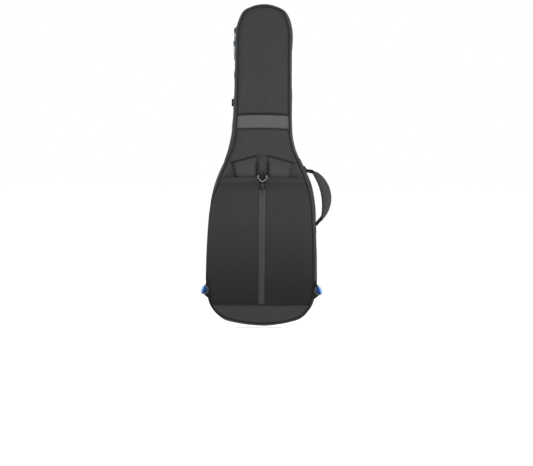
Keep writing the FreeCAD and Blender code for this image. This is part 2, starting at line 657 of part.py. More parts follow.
def webbing_loop(name, middle, along, fold, leg_length, out):
    """A short webbing loop round a ring's bar, with a flat leg that is sewn down.

    out points away from the bag, so the leg lies on the loop's other side.
    """
    turn = Rotation(along, fold, along.cross(fold), "XYZ")
    depth = size("wire_radius") + size("loop_clear")
    length = size("loop_length")
    start = middle - along * (length / 2)
    tubes = []
    for tag, radius in (("outer", "wire_radius + loop_clear + loop_wall"),
                        ("inner", "wire_radius + loop_clear")):
        tube = doc.addObject("Part::Cylinder", f"{name}_{tag}")
        tube.Placement = Placement(start, Rotation(Vector(0, 0, 1), along))
        bind(tube, Radius=radius, Height="loop_length")
        tubes.append(tube)
    leg = doc.addObject("Part::Box", f"{name}_leg")
    lift = depth if out.dot(turn.multVec(Vector(0, 0, 1))) < 0 else -depth - size("loop_wall")
    leg.Placement = Placement(start + turn.multVec(Vector(0, 0, lift)), turn)
    bind(leg, Length="loop_length", Width=leg_length, Height="loop_wall")
    keep(name, cut(name, fuse(name + "_whole", tubes[0], leg), tubes[1]))


def corner_hardware():
    """At each lower corner, a fabric wing with a webbing loop and the strap's D-ring."""
    for side, tag in ((LEFT, "left"), (RIGHT, "right")):
        face = polygon(f"wing_face_{tag}", [(side * x, height) for x, height in WING])
        keep(f"corner_wing_{tag}", extrude(f"corner_wing_{tag}", face, "wing_thick", "0 - wing_level"))
        middle, along, inwards = ring_frame(side)
        d_ring(f"d_ring_{tag}", middle, along, inwards)
        webbing_loop(f"wing_loop_{tag}", middle, along, inwards, "wing_leg", Vector(0, -1, 0))


def centre_ring():
    """The small ring that hangs over the pocket's hem, in its own webbing tab."""
    hem_front = size("pocket_proud") + size("hem_proud")
    lift = size("wire_radius") + size("loop_clear") + size("loop_wall")
    middle = Vector(0, -hem_front - lift, up(size("pocket_top") + size("hem_height") + size("ring_hang")))
    d_ring("centre_ring", middle, Vector(1, 0, 0), Vector(0, 0, -1))
    webbing_loop("ring_tab", middle, Vector(1, 0, 0), Vector(0, 0, -1), "ring_tab_leg", Vector(0, -1, 0))


# ---------------------------------------------------------------- the carry handle and the side loop


def chord_point(point):
    return Vector(point[0], size("handle_level"), up(point[1]))


def carry_handle():
    """The padded side grip on its rolled webbing. It swings about the line between its two ends."""
    upper, lower = chord_point(CHORD_UPPER), chord_point(CHORD_LOWER)
    outer = Part.Arc(*(Vector(x, 0, up(h)) for x, h in GRIP_OUTER)).toShape()
    inner = Part.Arc(*(Vector(x, 0, up(h)) for x, h in reversed(GRIP_INNER))).toShape()
    ends = [Part.makeLine(Vector(a[0], 0, up(a[1])), Vector(b[0], 0, up(b[1])))
            for a, b in ((GRIP_OUTER[-1], GRIP_INNER[-1]), (GRIP_INNER[0], GRIP_OUTER[0]))]
    face = plain("grip_face", Part.Face(Part.Wire([outer, ends[0], inner, ends[1]])))
    keep("handle_grip", extrude("handle_grip", face, "grip_depth", "handle_level - grip_depth / 2"))

    rolls = []
    for tag, eye, index in (("upper", upper, 0), ("lower", lower, -1)):
        end = (chord_point(GRIP_OUTER[index]) + chord_point(GRIP_INNER[index])) * 0.5
        roll = doc.addObject("Part::Cylinder", f"handle_roll_{tag}")
        roll.Placement = Placement(eye, Rotation(Vector(0, 0, 1), end - eye))
        bind(roll, Radius="handle_roll", Height=f"{(end - eye).Length} - roll_short")
        ball = doc.addObject("Part::Sphere", f"handle_eye_{tag}")
        ball.Placement = Placement(eye, Rotation())
        bind(ball, Radius="handle_roll")
        rolls.append(fuse(f"handle_end_{tag}", roll, ball))
    keep("handle_webbing", group("handle_webbing", *rolls))


def wall_patch(name, x, height, slope, length):
    """A flat webbing patch on the right wall, from a point on the outline, downwards along it."""
    made = doc.addObject("Part::Box", name)
    lean = Rotation(Vector(0, 1, 0), -slope)
    sunk = size("anchor_proud") - size("anchor_thick")
    offset = lean.multVec(Vector(sunk, -size("anchor_width") / 2, -length))
    made.Placement = Placement(Vector(x, size("handle_level"), up(height)) + offset, lean)
    bind(made, Length="anchor_thick", Width="anchor_width", Height=str(length))
    return made


def sewn_ends():
    """The two patches that hold the carry handle, and the webbing loop on the neck's left side."""
    entry = next(entry for entry in OUTLINE if entry[3] == 0)
    slope = size("slope_angle")
    along = Vector(math.cos(math.radians(entry[2])), 0, math.sin(math.radians(entry[2])))
    top = Vector(entry[0], 0, entry[1]) + along * (size("anchor_length") + size("anchor_gap"))
    upper = wall_patch("anchor_upper", top.x, top.z, slope, size("anchor_length"))
    flank = next(entry for entry in OUTLINE if entry[3] == size("side_radius"))
    level = size("anchor_level")
    turn = math.asin((level - flank[1]) / size("side_radius"))
    x = size("body_half") - size("side_radius") * (1 - math.cos(turn))
    lean = math.degrees(turn)
    reach = size("anchor_length") / 2
    lower = wall_patch("anchor_lower", x - reach * math.sin(turn), level + reach, lean, size("anchor_length"))
    keep("handle_anchors", group("handle_anchors", upper, lower))

    patch = box("tab_patch", "tab_patch", "anchor_width", "webbing_width", "0 - neck_half - tab_clear",
                "handle_level - anchor_width / 2", "tab_bottom - yoke_height")
    fold = box("tab_fold", "tab_reach", "tab_thick", "webbing_width", "0 - neck_half - tab_clear - tab_reach",
               "handle_level - tab_thick / 2", "tab_bottom - yoke_height")
    eye = box("tab_eye", "tab_reach - tab_fold", "tab_thick - 2 * webbing_thick", "webbing_width + 2 * over",
              "webbing_thick - neck_half - tab_clear - tab_reach",
              "handle_level - tab_thick / 2 + webbing_thick", "tab_bottom - over - yoke_height")
    keep("neck_loop", cut("neck_loop", fuse("tab_whole", patch, fold), eye))


# ---------------------------------------------------------------- inside, and the front pockets


def inside():
    """The neck rest with its strap, and the pad under the guitar's end."""
    floor = "skin + foam + lining + rest_clear"
    block = box("rest_block", "2 * rest_half", "rest_depth", "rest_height", "0 - rest_half", floor,
                "rest_bottom - yoke_height")
    cradle = box("rest_cradle", "2 * cradle_half", "cradle_depth + over", "rest_height + 2 * over",
                 "0 - cradle_half", floor + " + rest_depth - cradle_depth", "rest_bottom - over - yoke_height")
    keep("neck_rest", cut("neck_rest", block, cradle))
    keep("neck_strap", box("neck_strap", "2 * rest_half - 2 * rest_strap_inset", "webbing_thick",
                           "rest_strap_width", "rest_strap_inset - rest_half",
                           floor + " + rest_clear + rest_depth",
                           "rest_bottom + (rest_height - rest_strap_width) / 2 - yoke_height"))
    pad_slab = slab("end_slab", "board_inset + pocket_clear", "end_pad_depth", floor)
    keep("end_pad", band("end_pad", pad_slab, BELOW_BAG, "end_pad_top"))


def front_pockets():
    """The two flat zipped pockets sewn on the lid, each with its zip tape."""
    start = "bag_depth + pocket_clear"
    block = band("body_pocket_block", slab("body_pocket_slab", "body_pocket_inset",
                                           "body_pocket_thick", start),
                 "body_pocket_bottom", "body_pocket_top", "0 - body_pocket_half", "body_pocket_half")
    keep("body_pocket", block)
    keep("body_pocket_zip", box("body_pocket_zip", "2 * body_zip_half", "front_zip_thick - zip_shy",
                                "front_zip_width", "0 - body_zip_half", start + " + body_pocket_thick",
                                "body_zip_height - front_zip_width / 2 - yoke_height"))
    keep("neck_pocket", box("neck_pocket", "2 * neck_pocket_half", "neck_pocket_thick",
                            "neck_pocket_top - neck_pocket_bottom", "0 - neck_pocket_half", start,
                            "neck_pocket_bottom - yoke_height"))
    keep("neck_pocket_zip", box("neck_pocket_zip", "front_zip_width", "front_zip_thick - zip_shy",
                                "neck_pocket_top - neck_pocket_bottom - 2 * neck_zip_inset",
                                "0 - neck_zip_side - front_zip_width / 2", start + " + neck_pocket_thick",
                                "neck_pocket_bottom + neck_zip_inset - yoke_height"))


def zero_face():
    plain("face_zero_inset", Part.Face(outline_wire(0.0)))


def write_parts():
    """Checks every object, then writes each sub-part as a STEP file."""
    doc.recompute()
    bad = [o.Name for o in doc.Objects if set(o.State) & {"Invalid", "Error"}]
    for name, thing in nodes.items():
        if thing.Shape.isNull() or not thing.Shape.isValid() or not thing.Shape.Solids:
            bad.append(name)
    if bad:
        raise ValueError(f"these objects failed: {bad}")
    os.makedirs("parts", exist_ok=True)
    for name, thing in sorted(nodes.items()):
        thing.Shape.exportStep(f"parts/{name}.step")
        spread = thing.Shape.BoundBox
        print(f"{name}: {len(thing.Shape.Solids)} solid(s), {thing.Shape.Volume / 1000:.1f} cm3, "
              f"x {spread.XMin:.1f}..{spread.XMax:.1f}, y {spread.YMin:.1f}..{spread.YMax:.1f}, "
              f"z {spread.ZMin:.1f}..{spread.ZMax:.1f}")


zero_face()
boards()
walls()
main_zip()
piping("back_piping", size("welt_depth"))
piping("front_piping", size("bag_depth") - size("welt_depth"))
back_skins()
strap_pocket()
strap("shoulder_strap_left", LEFT)
strap("shoulder_strap_right", RIGHT)
strap_ends()
zip_hardware()
corner_hardware()
centre_ring()
carry_handle()
sewn_ends()
inside()
front_pockets()
write_parts()
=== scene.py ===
import math

import bmesh
import bpy
import numpy as np
from mathutils import Matrix, Vector


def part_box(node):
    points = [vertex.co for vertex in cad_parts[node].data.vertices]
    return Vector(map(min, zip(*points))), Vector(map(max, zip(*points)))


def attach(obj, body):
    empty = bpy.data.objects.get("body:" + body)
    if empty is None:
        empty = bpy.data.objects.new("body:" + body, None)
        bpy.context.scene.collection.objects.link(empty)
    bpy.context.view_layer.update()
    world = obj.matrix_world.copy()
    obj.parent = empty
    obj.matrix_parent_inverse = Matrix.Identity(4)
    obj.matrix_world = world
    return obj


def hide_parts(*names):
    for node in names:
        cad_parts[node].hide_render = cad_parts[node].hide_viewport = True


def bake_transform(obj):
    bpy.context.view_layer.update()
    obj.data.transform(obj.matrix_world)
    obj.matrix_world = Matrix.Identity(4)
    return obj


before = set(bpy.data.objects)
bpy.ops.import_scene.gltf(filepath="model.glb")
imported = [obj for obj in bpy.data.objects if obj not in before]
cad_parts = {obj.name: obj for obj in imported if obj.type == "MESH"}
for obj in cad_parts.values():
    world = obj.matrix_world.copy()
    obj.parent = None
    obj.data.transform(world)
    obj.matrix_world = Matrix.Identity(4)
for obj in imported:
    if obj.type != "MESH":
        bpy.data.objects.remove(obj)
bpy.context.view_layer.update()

# A padded gig bag for an electric guitar, in metres, in the CAD's frame: +Z up the neck, -Y out of the
# back, where the shoulder straps are, and +X to the side with the carry handle.

RIGHT, LEFT = 1, -1
SIDES = ((LEFT, "left"), (RIGHT, "right"))
EDGE_LOW, EDGE_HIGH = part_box("main_zip_back")
BOTTOM, LENGTH = EDGE_LOW.z, EDGE_HIGH.z - EDGE_LOW.z
BODY_HALF, NECK_HALF = EDGE_HIGH.x, 0.0977
UP, BACK = Vector((0, 0, 1)), Vector((0, -1, 0))

# the outline's arcs, one side, from the bottom centre up: (radius, turn in degrees)
BASE, FLANK, SIDE, SLOPE, FLARE = 15.5, 17.0, 4.06, 25.0, 2.5
ARCH, CROWN = 25.9, 25.6
LOWER_ARCS = [(0.092, 90 - FLANK - BASE), (0.257, FLANK), (3.4, SIDE), (0.4, SLOPE - SIDE)]
WAIST_ARCS = [(0.24, FLARE - SLOPE), (3.5, -FLARE)]
ARCH_ARCS = [(0.188, ARCH), (0.046, 90 - ARCH - CROWN)]

FRONT = 0.102                # the depth of the lid's face; the back's is 0
SKIN = 0.002                 # a cloth panel's thickness
PIPING_INSET, PIPING_DEPTH, PIPING_RADIUS = 0.0098, 0.0016, 0.0024
SKIN_INSET = 0.0126          # how far inside the outline the skin panels end

# heights of seams above the bottom, and half widths across the bag
BAND_TOP, BAND_BOTTOM, BASE_SEAM = 0.7195, 0.670, 0.0695
CHEVRON_TOP, CHEVRON_SIDE, CHEVRON_INNER, CHEVRON_OUTER = 0.5810, 0.5585, 0.0215, 0.103
POCKET_TOP, HEM_TOP = 0.492, 0.507
SLOT_HALF = 0.010            # of the opening for the pocket's zip
STRAP_MOUTH, STRAP_END = 0.091, 0.190
HINGE_LOW, HINGE_HIGH = 0.155, 0.345
WAIST = 0.671                # where the neck's walls begin


def up(height):
    """The Z coordinate of a height above the bottom seam."""
    return BOTTOM + height


# ---------------------------------- the outline


def arc_run(radius, start, end):
    a, b = math.radians(start), math.radians(end)
    return np.array([radius * (math.sin(b) - math.sin(a)), radius * (math.cos(a) - math.cos(b))])


def moved_by(radius, heading, amount):
    """The way moved and the new heading, after turning by amount or, with no radius, running straight by it."""
    if radius:
        return arc_run(math.copysign(radius, amount), heading, heading + amount), heading + amount
    ahead = math.radians(heading)
    return amount * np.array([math.cos(ahead), math.sin(ahead)]), heading


def run_of(arcs, heading):
    """How far a chain of arcs moves in x and z."""
    total = np.zeros(2)
    for radius, turn in arcs:
        moved, heading = moved_by(radius, heading, turn)
        total += moved
    return total


def half_outline():
    """Points and outward normals of the right side, from the bottom centre to the top centre."""
    step = 0.001
    lower, waist = run_of(LOWER_ARCS, BASE), run_of(WAIST_ARCS, 90 + SLOPE)
    arch = run_of(ARCH_ARCS, 90)
    flank_x = run_of(LOWER_ARCS[:2], BASE)[0]
    base_radius = (BODY_HALF - flank_x) / math.sin(math.radians(BASE))
    crown_radius = (NECK_HALF + arch[0]) / math.sin(math.radians(CROWN))
    base, crown = arc_run(base_radius, 0, BASE), arc_run(crown_radius, 180 - CROWN, 180)
    slant = (base[0] + lower[0] + waist[0] - NECK_HALF) / math.sin(math.radians(SLOPE))
    rise = slant * math.cos(math.radians(SLOPE))
    straight = LENGTH - base[1] - lower[1] - rise - waist[1] - arch[1] - crown[1]
    chain = [(base_radius, BASE), *LOWER_ARCS, (0, slant), *WAIST_ARCS, (0, straight), *ARCH_ARCS,
             (crown_radius, CROWN)]
    place, heading = np.array([0.0, BOTTOM]), 0.0
    places, headings = [], []
    for radius, turn in chain:
        length = radius * math.radians(abs(turn)) if radius else turn
        for share in np.linspace(0, 1, max(3, round(length / step)))[:-1]:
            moved, now = moved_by(radius, heading, share * turn)
            places.append(place + moved)
            headings.append(now)
        moved, heading = moved_by(radius, heading, turn)
        place = place + moved
    places.append(place)
    headings.append(180.0)
    angle = np.radians(headings)
    return np.array(places), np.stack([np.sin(angle), -np.cos(angle)], 1)


def unit(vectors):
    return vectors / np.linalg.norm(vectors, axis=-1, keepdims=True)


def full_turn(count):
    """Angles round a circle, without the last one, which is the first."""
    return np.linspace(0, 2 * math.pi, count, endpoint=False)


def run_length(path):
    """How far along a polyline each of its points lies."""
    return np.concatenate([[0], np.cumsum(np.linalg.norm(np.diff(path, axis=0), axis=1))])


def read_off(where, known, values):
    """The values, a row for each known place, at the places between them."""
    return np.stack([np.interp(where, known, column) for column in np.transpose(values)], -1)


SIDE_PLACES, SIDE_NORMALS = half_outline()
ALONG = run_length(SIDE_PLACES)
HALF_ROUND = ALONG[-1]


def at(distance):
    """Places and outward normals at distances round the outline.

    0 is the bottom centre, HALF_ROUND the top, up the right side. Beyond it, or below 0, is the left side.
    """
    q = np.asarray(distance, float)
    s = np.where(q < 0, -q, np.where(q > HALF_ROUND, 2 * HALF_ROUND - q, q))
    side = np.where((q < 0) | (q > HALF_ROUND), LEFT, RIGHT)
    place, normal = read_off(s, ALONG, SIDE_PLACES), unit(read_off(s, ALONG, SIDE_NORMALS))
    place[..., 0] *= side
    normal[..., 0] *= side
    return place, normal


def round_to(height):
    """The distance round the outline to a height on the right side."""
    return float(np.interp(up(height), SIDE_PLACES[:, 1], ALONG))


def rail(start, end, step=0.006):
    """Places and normals along a stretch of the outline."""
    count = max(3, round(abs(end - start) / step) + 1)
    return at(np.linspace(start, end, count))


def whole_round(step=0.006):
    """The closed loop, without its last point, which is its first."""
    count = round(2 * HALF_ROUND / step)
    return at(np.linspace(0, 2 * HALF_ROUND, count, endpoint=False))


def swept(path, inset, depth):
    """A grid of points: each row is a section of (inset, depth) pairs, standing on the path."""
    places, normals = path
    rows = len(places)
    inset = np.broadcast_to(inset, (rows, np.shape(inset)[-1]))
    depth = np.broadcast_to(depth, inset.shape)
    out = np.empty(inset.shape + (3,))
    out[..., 0] = places[:, None, 0] - inset * normals[:, None, 0]
    out[..., 2] = places[:, None, 1] - inset * normals[:, None, 1]
    out[..., 1] = depth
    return out


EDGE_SAMPLES = whole_round(0.003)[0]
EDGE_BATCH = 4000            # points measured at once, to save memory


def edge_distance(x, z):
    """How far points lie inside the outline."""
    flat = np.stack([x.ravel(), z.ravel()], 1)
    found = np.empty(len(flat))
    for start in range(0, len(flat), EDGE_BATCH):
        part = slice(start, start + EDGE_BATCH)
        gap = flat[part][:, None, :] - EDGE_SAMPLES[None]
        found[part] = np.sqrt((gap ** 2).sum(-1).min(1))
    return found.reshape(x.shape)


def ease(value, low, high):
    """0 below low, 1 above high, smooth between them."""
    t = np.clip((value - low) / (high - low), 0, 1)
    return t * t * (3 - 2 * t)


def superellipse(value, power):
    """A sine or cosine made squarer, which keeps its sign."""
    return np.sign(value) * np.abs(value) ** power


def crowded(count, power):
    """Numbers from -1 to 1, closer together towards both ends."""
    c = np.linspace(-1, 1, count)
    return np.sign(c) * (1 - (1 - np.abs(c)) ** power)


def ripple(x, z, wavelength, seed):
    """A smooth random surface, about -1 to 1."""
    count = 9
    random = np.random.default_rng(seed)
    total = np.zeros(np.shape(x))
    for _ in range(count):
        angle, phase = random.uniform(0, 2 * math.pi, 2)
        number = 2 * math.pi / (wavelength * random.uniform(0.7, 1.6))
        total = total + np.sin(number * (x * math.cos(angle) + z * math.sin(angle)) + phase)
    return total / math.sqrt(count)


# ---------------------------------- mesh helpers


def in_scene(name, data):
    made = bpy.data.objects.new(name, data)
    bpy.context.collection.objects.link(made)
    return made


def finish_mesh(name, mesh, material, sharp=40):
    mesh.validate()
    for polygon in mesh.polygons:
        polygon.use_smooth = True
    mesh.set_sharp_from_angle(angle=math.radians(sharp))
    for one in material if isinstance(material, list) else [material]:
        mesh.materials.append(one)
    return in_scene(name, mesh)


def from_bmesh(name, bm, material, sharp=40, merge=1e-5):
    bmesh.ops.remove_doubles(bm, verts=bm.verts, dist=merge)
    bmesh.ops.recalc_face_normals(bm, faces=bm.faces)
    mesh = bpy.data.meshes.new(name)
    bm.to_mesh(mesh)
    bm.free()
    return finish_mesh(name, mesh, material, sharp)


def grid_faces(rows, columns, wrap_rows=False):
    """The faces over a grid of points whose columns close on themselves."""
    i, j = np.meshgrid(np.arange(rows if wrap_rows else rows - 1), np.arange(columns), indexing="ij")
    i, j = i.ravel(), j.ravel()
    near, far, beside = i * columns, ((i + 1) % rows) * columns, (j + 1) % columns
    return np.stack([near + j, near + beside, far + beside, far + j], 1).tolist()


def closed_cord(name, points, material):
    """A cord over a grid of points, closed both ways."""
    rows, columns = points.shape[:2]
    return welded(name, points.reshape(-1, 3), grid_faces(rows, columns, True), material)


def welded(name, points, faces, material, sharp=40):
    mesh = bpy.data.meshes.new(name)
    mesh.from_pydata(points.tolist(), [], faces)
    bm = bmesh.new()
    bm.from_mesh(mesh)
    bpy.data.meshes.remove(mesh)
    bmesh.ops.dissolve_degenerate(bm, edges=bm.edges, dist=1e-6)
    return from_bmesh(name, bm, material, sharp)


def shell(name, outer, inner, material, sharp=40):
    """A closed solid between two grids of points."""
    points = np.concatenate([outer, inner[:, ::-1]], axis=1)
    rows, columns = points.shape[:2]
    faces = grid_faces(rows, columns)
    for first in (0, (rows - 1) * columns):
        last = first + columns - 1
        faces += [[first + j, first + j + 1, last - 1 - j, last - j] for j in range(outer.shape[1] - 1)]
    return welded(name, points.reshape(-1, 3), faces, material, sharp)


def capped(name, points, material):
    """A tube over rows of closed sections, with flat ends."""
    rows, columns = points.shape[:2]
    ends = [list(range(first, first + columns)) for first in (0, (rows - 1) * columns)]
    return welded(name, points.reshape(-1, 3), grid_faces(rows, columns) + ends, material)


def oval(count, across, out, width, depth):
    """A cord's sections: each reaches width across and depth out."""
    theta = full_turn(count)[:, None]
    across, out = (np.asarray(way, float)[..., None, :] for way in (across, out))
    width, depth = (np.asarray(half, float)[..., None, None] for half in (width, depth))
    return width * np.cos(theta) * across + depth * np.sin(theta) * out


def spaced(path, pitch):
    """Evenly spaced points on a polyline, and the directions there."""
    path = np.asarray(path, float)
    total = run_length(path)
    count = max(2, int(total[-1] / pitch))
    where = (np.arange(count) + 0.5) * total[-1] / count
    ahead, behind = (read_off(where + pitch * share, total, path) for share in (0.3, -0.3))
    return read_off(where, total, path), unit(ahead - behind)


BEAD_SIDES = 6


def beads(name, places, along, out, half_length, half_width, half_height, material):
    """Many small rounded beads in one mesh, such as stitches or zip teeth."""
    out = np.broadcast_to(out, along.shape)
    across = unit(np.cross(along, out))
    lift = np.cross(across, along)
    rings = [(reach, math.cos(a), math.sin(a)) for reach in (-0.62, 0.62) for a in full_turn(BEAD_SIDES)]
    template = np.array([(-1.0, 0.0, 0.0), *rings, (1.0, 0.0, 0.0)]) * [half_length, half_width, half_height]
    points = (places[:, None, :] + template[None, :, :1] * along[:, None, :]
              + template[None, :, 1:2] * across[:, None, :] + template[None, :, 2:] * lift[:, None, :])
    one = []
    last = len(template) - 1
    for k in range(BEAD_SIDES):
        a, b = 1 + k, 1 + (k + 1) % BEAD_SIDES
        one += [[0, b, a], [a, b, b + BEAD_SIDES, a + BEAD_SIDES], [last, a + BEAD_SIDES, b + BEAD_SIDES]]
    faces = [[index + n * len(template) for index in face] for n in range(len(places)) for face in one]
    mesh = bpy.data.meshes.new(name)
    mesh.from_pydata(points.reshape(-1, 3).tolist(), [], faces)
    return finish_mesh(name, mesh, material, sharp=80)


STITCH_PITCH, STITCH_HALF, THREAD_RADIUS = 0.0036, 0.0013, 0.00038


def stitching(body, slot, name, lines, material):
    """Rows of stitches on a body. Each line is (points, direction out of the cloth)."""
    rows = []
    for path, outwards in lines:
        places, along = spaced(path, STITCH_PITCH)
        rows.append((places, along, np.broadcast_to(np.asarray(outwards, float), along.shape)))
    places, along, out = (np.concatenate(part) for part in zip(*rows))
    made = beads(name, places, along, out, STITCH_HALF, THREAD_RADIUS, THREAD_RADIUS, material)
    return place_on(body, slot, made)


SOFTENED = math.radians(30)  # a CAD edge sharper than this is bevelled


def cad_shape(node_name):
    bm = bmesh.new()
    bm.from_mesh(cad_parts[node_name].data)
    bmesh.ops.remove_doubles(bm, verts=bm.verts, dist=1e-6)
    return bm


def refined(name, node_name, material, width):
    """A copy of a CAD node with its edges softened by width, to stand for it."""
    bm = cad_shape(node_name)
    bmesh.ops.dissolve_limit(bm, angle_limit=math.radians(2), verts=bm.verts, edges=bm.edges)
    edges = [e for e in bm.edges if len(e.link_faces) == 2 and e.calc_face_angle(0) > SOFTENED]
    bmesh.ops.bevel(bm, geom=edges, offset=width, segments=2, affect="EDGES", clamp_overlap=True)
    bmesh.ops.triangulate(bm, faces=[f for f in bm.faces if len(f.verts) > 4])
    made = from_bmesh(name, bm, material, sharp=50, merge=1e-7)
    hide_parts(node_name)
    return made


def vertex_places(piece):
    """A piece's points as an array."""
    flat = np.empty(3 * len(piece.data.vertices))
    piece.data.vertices.foreach_get("co", flat)
    return flat.reshape(-1, 3)


def move_to(piece, points):
    piece.data.vertices.foreach_set("co", points.ravel())
    piece.data.update()


def place_on(body, slot, *pieces):
    """Rides pieces on a body. slot is not used."""
    for piece in pieces:
        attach(piece, body)
    return pieces[0]


def coated(node_name, material):
    """Gives a CAD node that stays as it is its material."""
    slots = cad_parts[node_name].data.materials
    slots.clear()
    slots.append(material)


def stands_for(node_name, body, slot, piece):
    """Puts a piece on a body in the place of a CAD node."""
    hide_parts(node_name)
    return place_on(body, slot, piece)


# ---------------------------------- materials


def new_material(name):
    made = bpy.data.materials.new(name)
    made.use_nodes = True
    tree = made.node_tree
    tree.nodes.clear()
    output = tree.nodes.new("ShaderNodeOutputMaterial")
    shader = tree.nodes.new("ShaderNodeBsdfPrincipled")
    tree.links.new(shader.outputs[0], output.inputs["Surface"])
    return made, tree, shader


def node(tree, kind, inputs=None, **settings):
    """Adds a node. inputs maps a socket to a number, a colour or another node's output."""
    made = tree.nodes.new(kind)
    for key, value in settings.items():
        setattr(made, key, value)
    for key, value in (inputs or {}).items():
        if isinstance(value, bpy.types.NodeSocket):
            tree.links.new(value, made.inputs[key])
        else:
            made.inputs[key].default_value = value
    return made


def calc(tree, operation, a, b):
    return node(tree, "ShaderNodeMath", {0: a, 1: b}, operation=operation).outputs[0]


def object_place(tree):
    return node(tree, "ShaderNodeTexCoord").outputs["Object"]


def waves(tree, place, pitch):
    """Fine ridges along all three directions, added together, 0 to 1."""
    total = None
    for direction in "XYZ":
        wave = node(tree, "ShaderNodeTexWave", {"Vector": place, "Scale": 0.314 / pitch, "Distortion": 0.3,
                                                "Detail": 1.0}, bands_direction=direction).outputs["Fac"]
        total = wave if total is None else calc(tree, "ADD", total, wave)
    return calc(tree, "DIVIDE", total, 3.0)


def noise(tree, place, scale, detail=3.0, roughness=0.55):
    return node(tree, "ShaderNodeTexNoise", {"Vector": place, "Scale": scale, "Detail": detail,
                                             "Roughness": roughness}).outputs["Fac"]


def shaded(tree, colour, amount):
    """The colour made lighter and darker by amount, a socket that is about 1 on average."""
    return node(tree, "ShaderNodeVectorMath", {0: colour, "Scale": amount}, operation="SCALE").outputs[0]


def mapped(tree, value, **ends):
    """A value carried from one range to another. ends names the sockets that aren't 0 or 1."""
    sockets = {name.replace("_", " "): end for name, end in ends.items()}
    return node(tree, "ShaderNodeMapRange", {"Value": value, **sockets}).outputs[0]


def around_one(tree, *parts):
    """The product of 0 to 1 values, each turned into one round 1, give or take its spread."""
    total = None
    for value, spread in parts:
        one = mapped(tree, value, To_Min=1 - spread, To_Max=1 + spread)
        total = one if total is None else calc(tree, "MULTIPLY", total, one)
    return total


def edge_wear(tree, low=0.52, high=0.62):
    """0 on flat cloth and 1 on worn outer edges."""
    pointed = node(tree, "ShaderNodeNewGeometry").outputs["Pointiness"]
    return mapped(tree, pointed, From_Min=low, From_Max=high)


def painted_shading_at_height(tree, place, painted_shading):
    """Light and shade painted into cloth by height: how light it is at each height, given as (height, lightness)
    pairs.
    """
    height = node(tree, "ShaderNodeSeparateXYZ", {"Vector": place}).outputs["Z"]
    ramp = node(tree, "ShaderNodeValToRGB", {"Fac": mapped(tree, height, From_Min=BOTTOM, From_Max=up(LENGTH))})
    while len(ramp.color_ramp.elements) < len(painted_shading):
        ramp.color_ramp.elements.new(0.5)
    for stop, (level_at, light) in zip(ramp.color_ramp.elements, painted_shading):
        stop.position, stop.color = level_at / LENGTH, (light, light, light, 1)
    return ramp.outputs["Color"]


def surfaced(made, colour, roughness, height, relief, strength, **settings):
    """Joins a new material's colour, roughness and bump to its shader, whose other sockets settings names."""
    material, tree, shader = made
    bump = node(tree, "ShaderNodeBump", {"Height": height, "Distance": relief, "Strength": strength}).outputs[0]
    for name, value in (("Base Color", colour), ("Roughness", roughness), ("Normal", bump)):
        tree.links.new(value, shader.inputs[name])
    for name, value in settings.items():
        shader.inputs[name.replace("_", " ")].default_value = value
    return material


def cloth(name, colour, pitch=0.0011, mottle=0.12, sheen=0.12, relief=0.00022, wear=0.25, painted_shading=None):
    """Woven cloth: threads, a heathered colour, broad variation, paler worn edges and, where given, light and shade
    painted in by height.
    """
    made, tree, shader = new_material(name)
    place = object_place(tree)
    weave = waves(tree, place, pitch)
    fine = noise(tree, place, 900.0, 4.0, 0.7)
    amount = around_one(tree, (fine, mottle), (noise(tree, place, 9.0), 0.10), (weave, mottle * 0.8))
    worn = node(tree, "ShaderNodeMath", {0: edge_wear(tree), 1: wear, 2: 1.0}, operation="MULTIPLY_ADD").outputs[0]
    amount = calc(tree, "MULTIPLY", amount, worn)
    # painted light and shade: the colour is scaled by height, standing in for the lamps' falloff and for cast
    # shadows
    if painted_shading:
        amount = calc(tree, "MULTIPLY", amount, painted_shading_at_height(tree, place, painted_shading))
    return surfaced((made, tree, shader), shaded(tree, colour, amount),
                    calc(tree, "MULTIPLY", around_one(tree, (fine, 0.08)), 0.86),
                    calc(tree, "ADD", weave, calc(tree, "MULTIPLY", fine, 0.5)), relief, 0.7,
                    Sheen_Weight=sheen, Sheen_Roughness=0.5, Specular_IOR_Level=0.25)


def mesh_cloth(name, colour):
    """Spacer mesh: a padded knit with small round holes."""
    cell = 0.0032
    made, tree, shader = new_material(name)
    place = object_place(tree)
    cells = node(tree, "ShaderNodeTexVoronoi", {"Vector": place, "Scale": 1 / cell, "Randomness": 0.25},
                 feature="F1").outputs["Distance"]
    hole = mapped(tree, cells, From_Min=0.12, From_Max=0.42)
    fine = noise(tree, place, 1100.0, 3.0, 0.7)
    amount = around_one(tree, (hole, 0.22), (noise(tree, place, 12.0), 0.08), (fine, 0.12))
    return surfaced((made, tree, shader), shaded(tree, colour, amount), around_one(tree, (fine, 0.12)),
                    calc(tree, "ADD", hole, calc(tree, "MULTIPLY", fine, 0.2)), 0.0006, 0.6,
                    Sheen_Weight=0.15, Specular_IOR_Level=0.2)


def plush(name, colour):
    """A short napped lining."""
    made, tree, shader = new_material(name)
    place = object_place(tree)
    nap = noise(tree, place, 520.0, 5.0, 0.75)
    brushed = noise(tree, place, 24.0, 4.0, 0.6)
    return surfaced((made, tree, shader), shaded(tree, colour, around_one(tree, (nap, 0.25), (brushed, 0.16))),
                    around_one(tree, (nap, 0.1)), calc(tree, "ADD", nap, calc(tree, "MULTIPLY", brushed, 0.8)),
                    0.0008, 0.6, Sheen_Weight=0.5, Sheen_Roughness=0.4)


def foam(name, colour):
    """Closed-cell foam: fine pores."""
    made, tree, shader = new_material(name)
    place = object_place(tree)
    pores = node(tree, "ShaderNodeTexVoronoi", {"Vector": place, "Scale": 1400.0}).outputs["Distance"]
    cloud = noise(tree, place, 30.0)
    return surfaced((made, tree, shader), shaded(tree, colour, around_one(tree, (pores, 0.2), (cloud, 0.08))),
                    around_one(tree, (cloud, 0.06)), pores, 0.0003, 0.5)


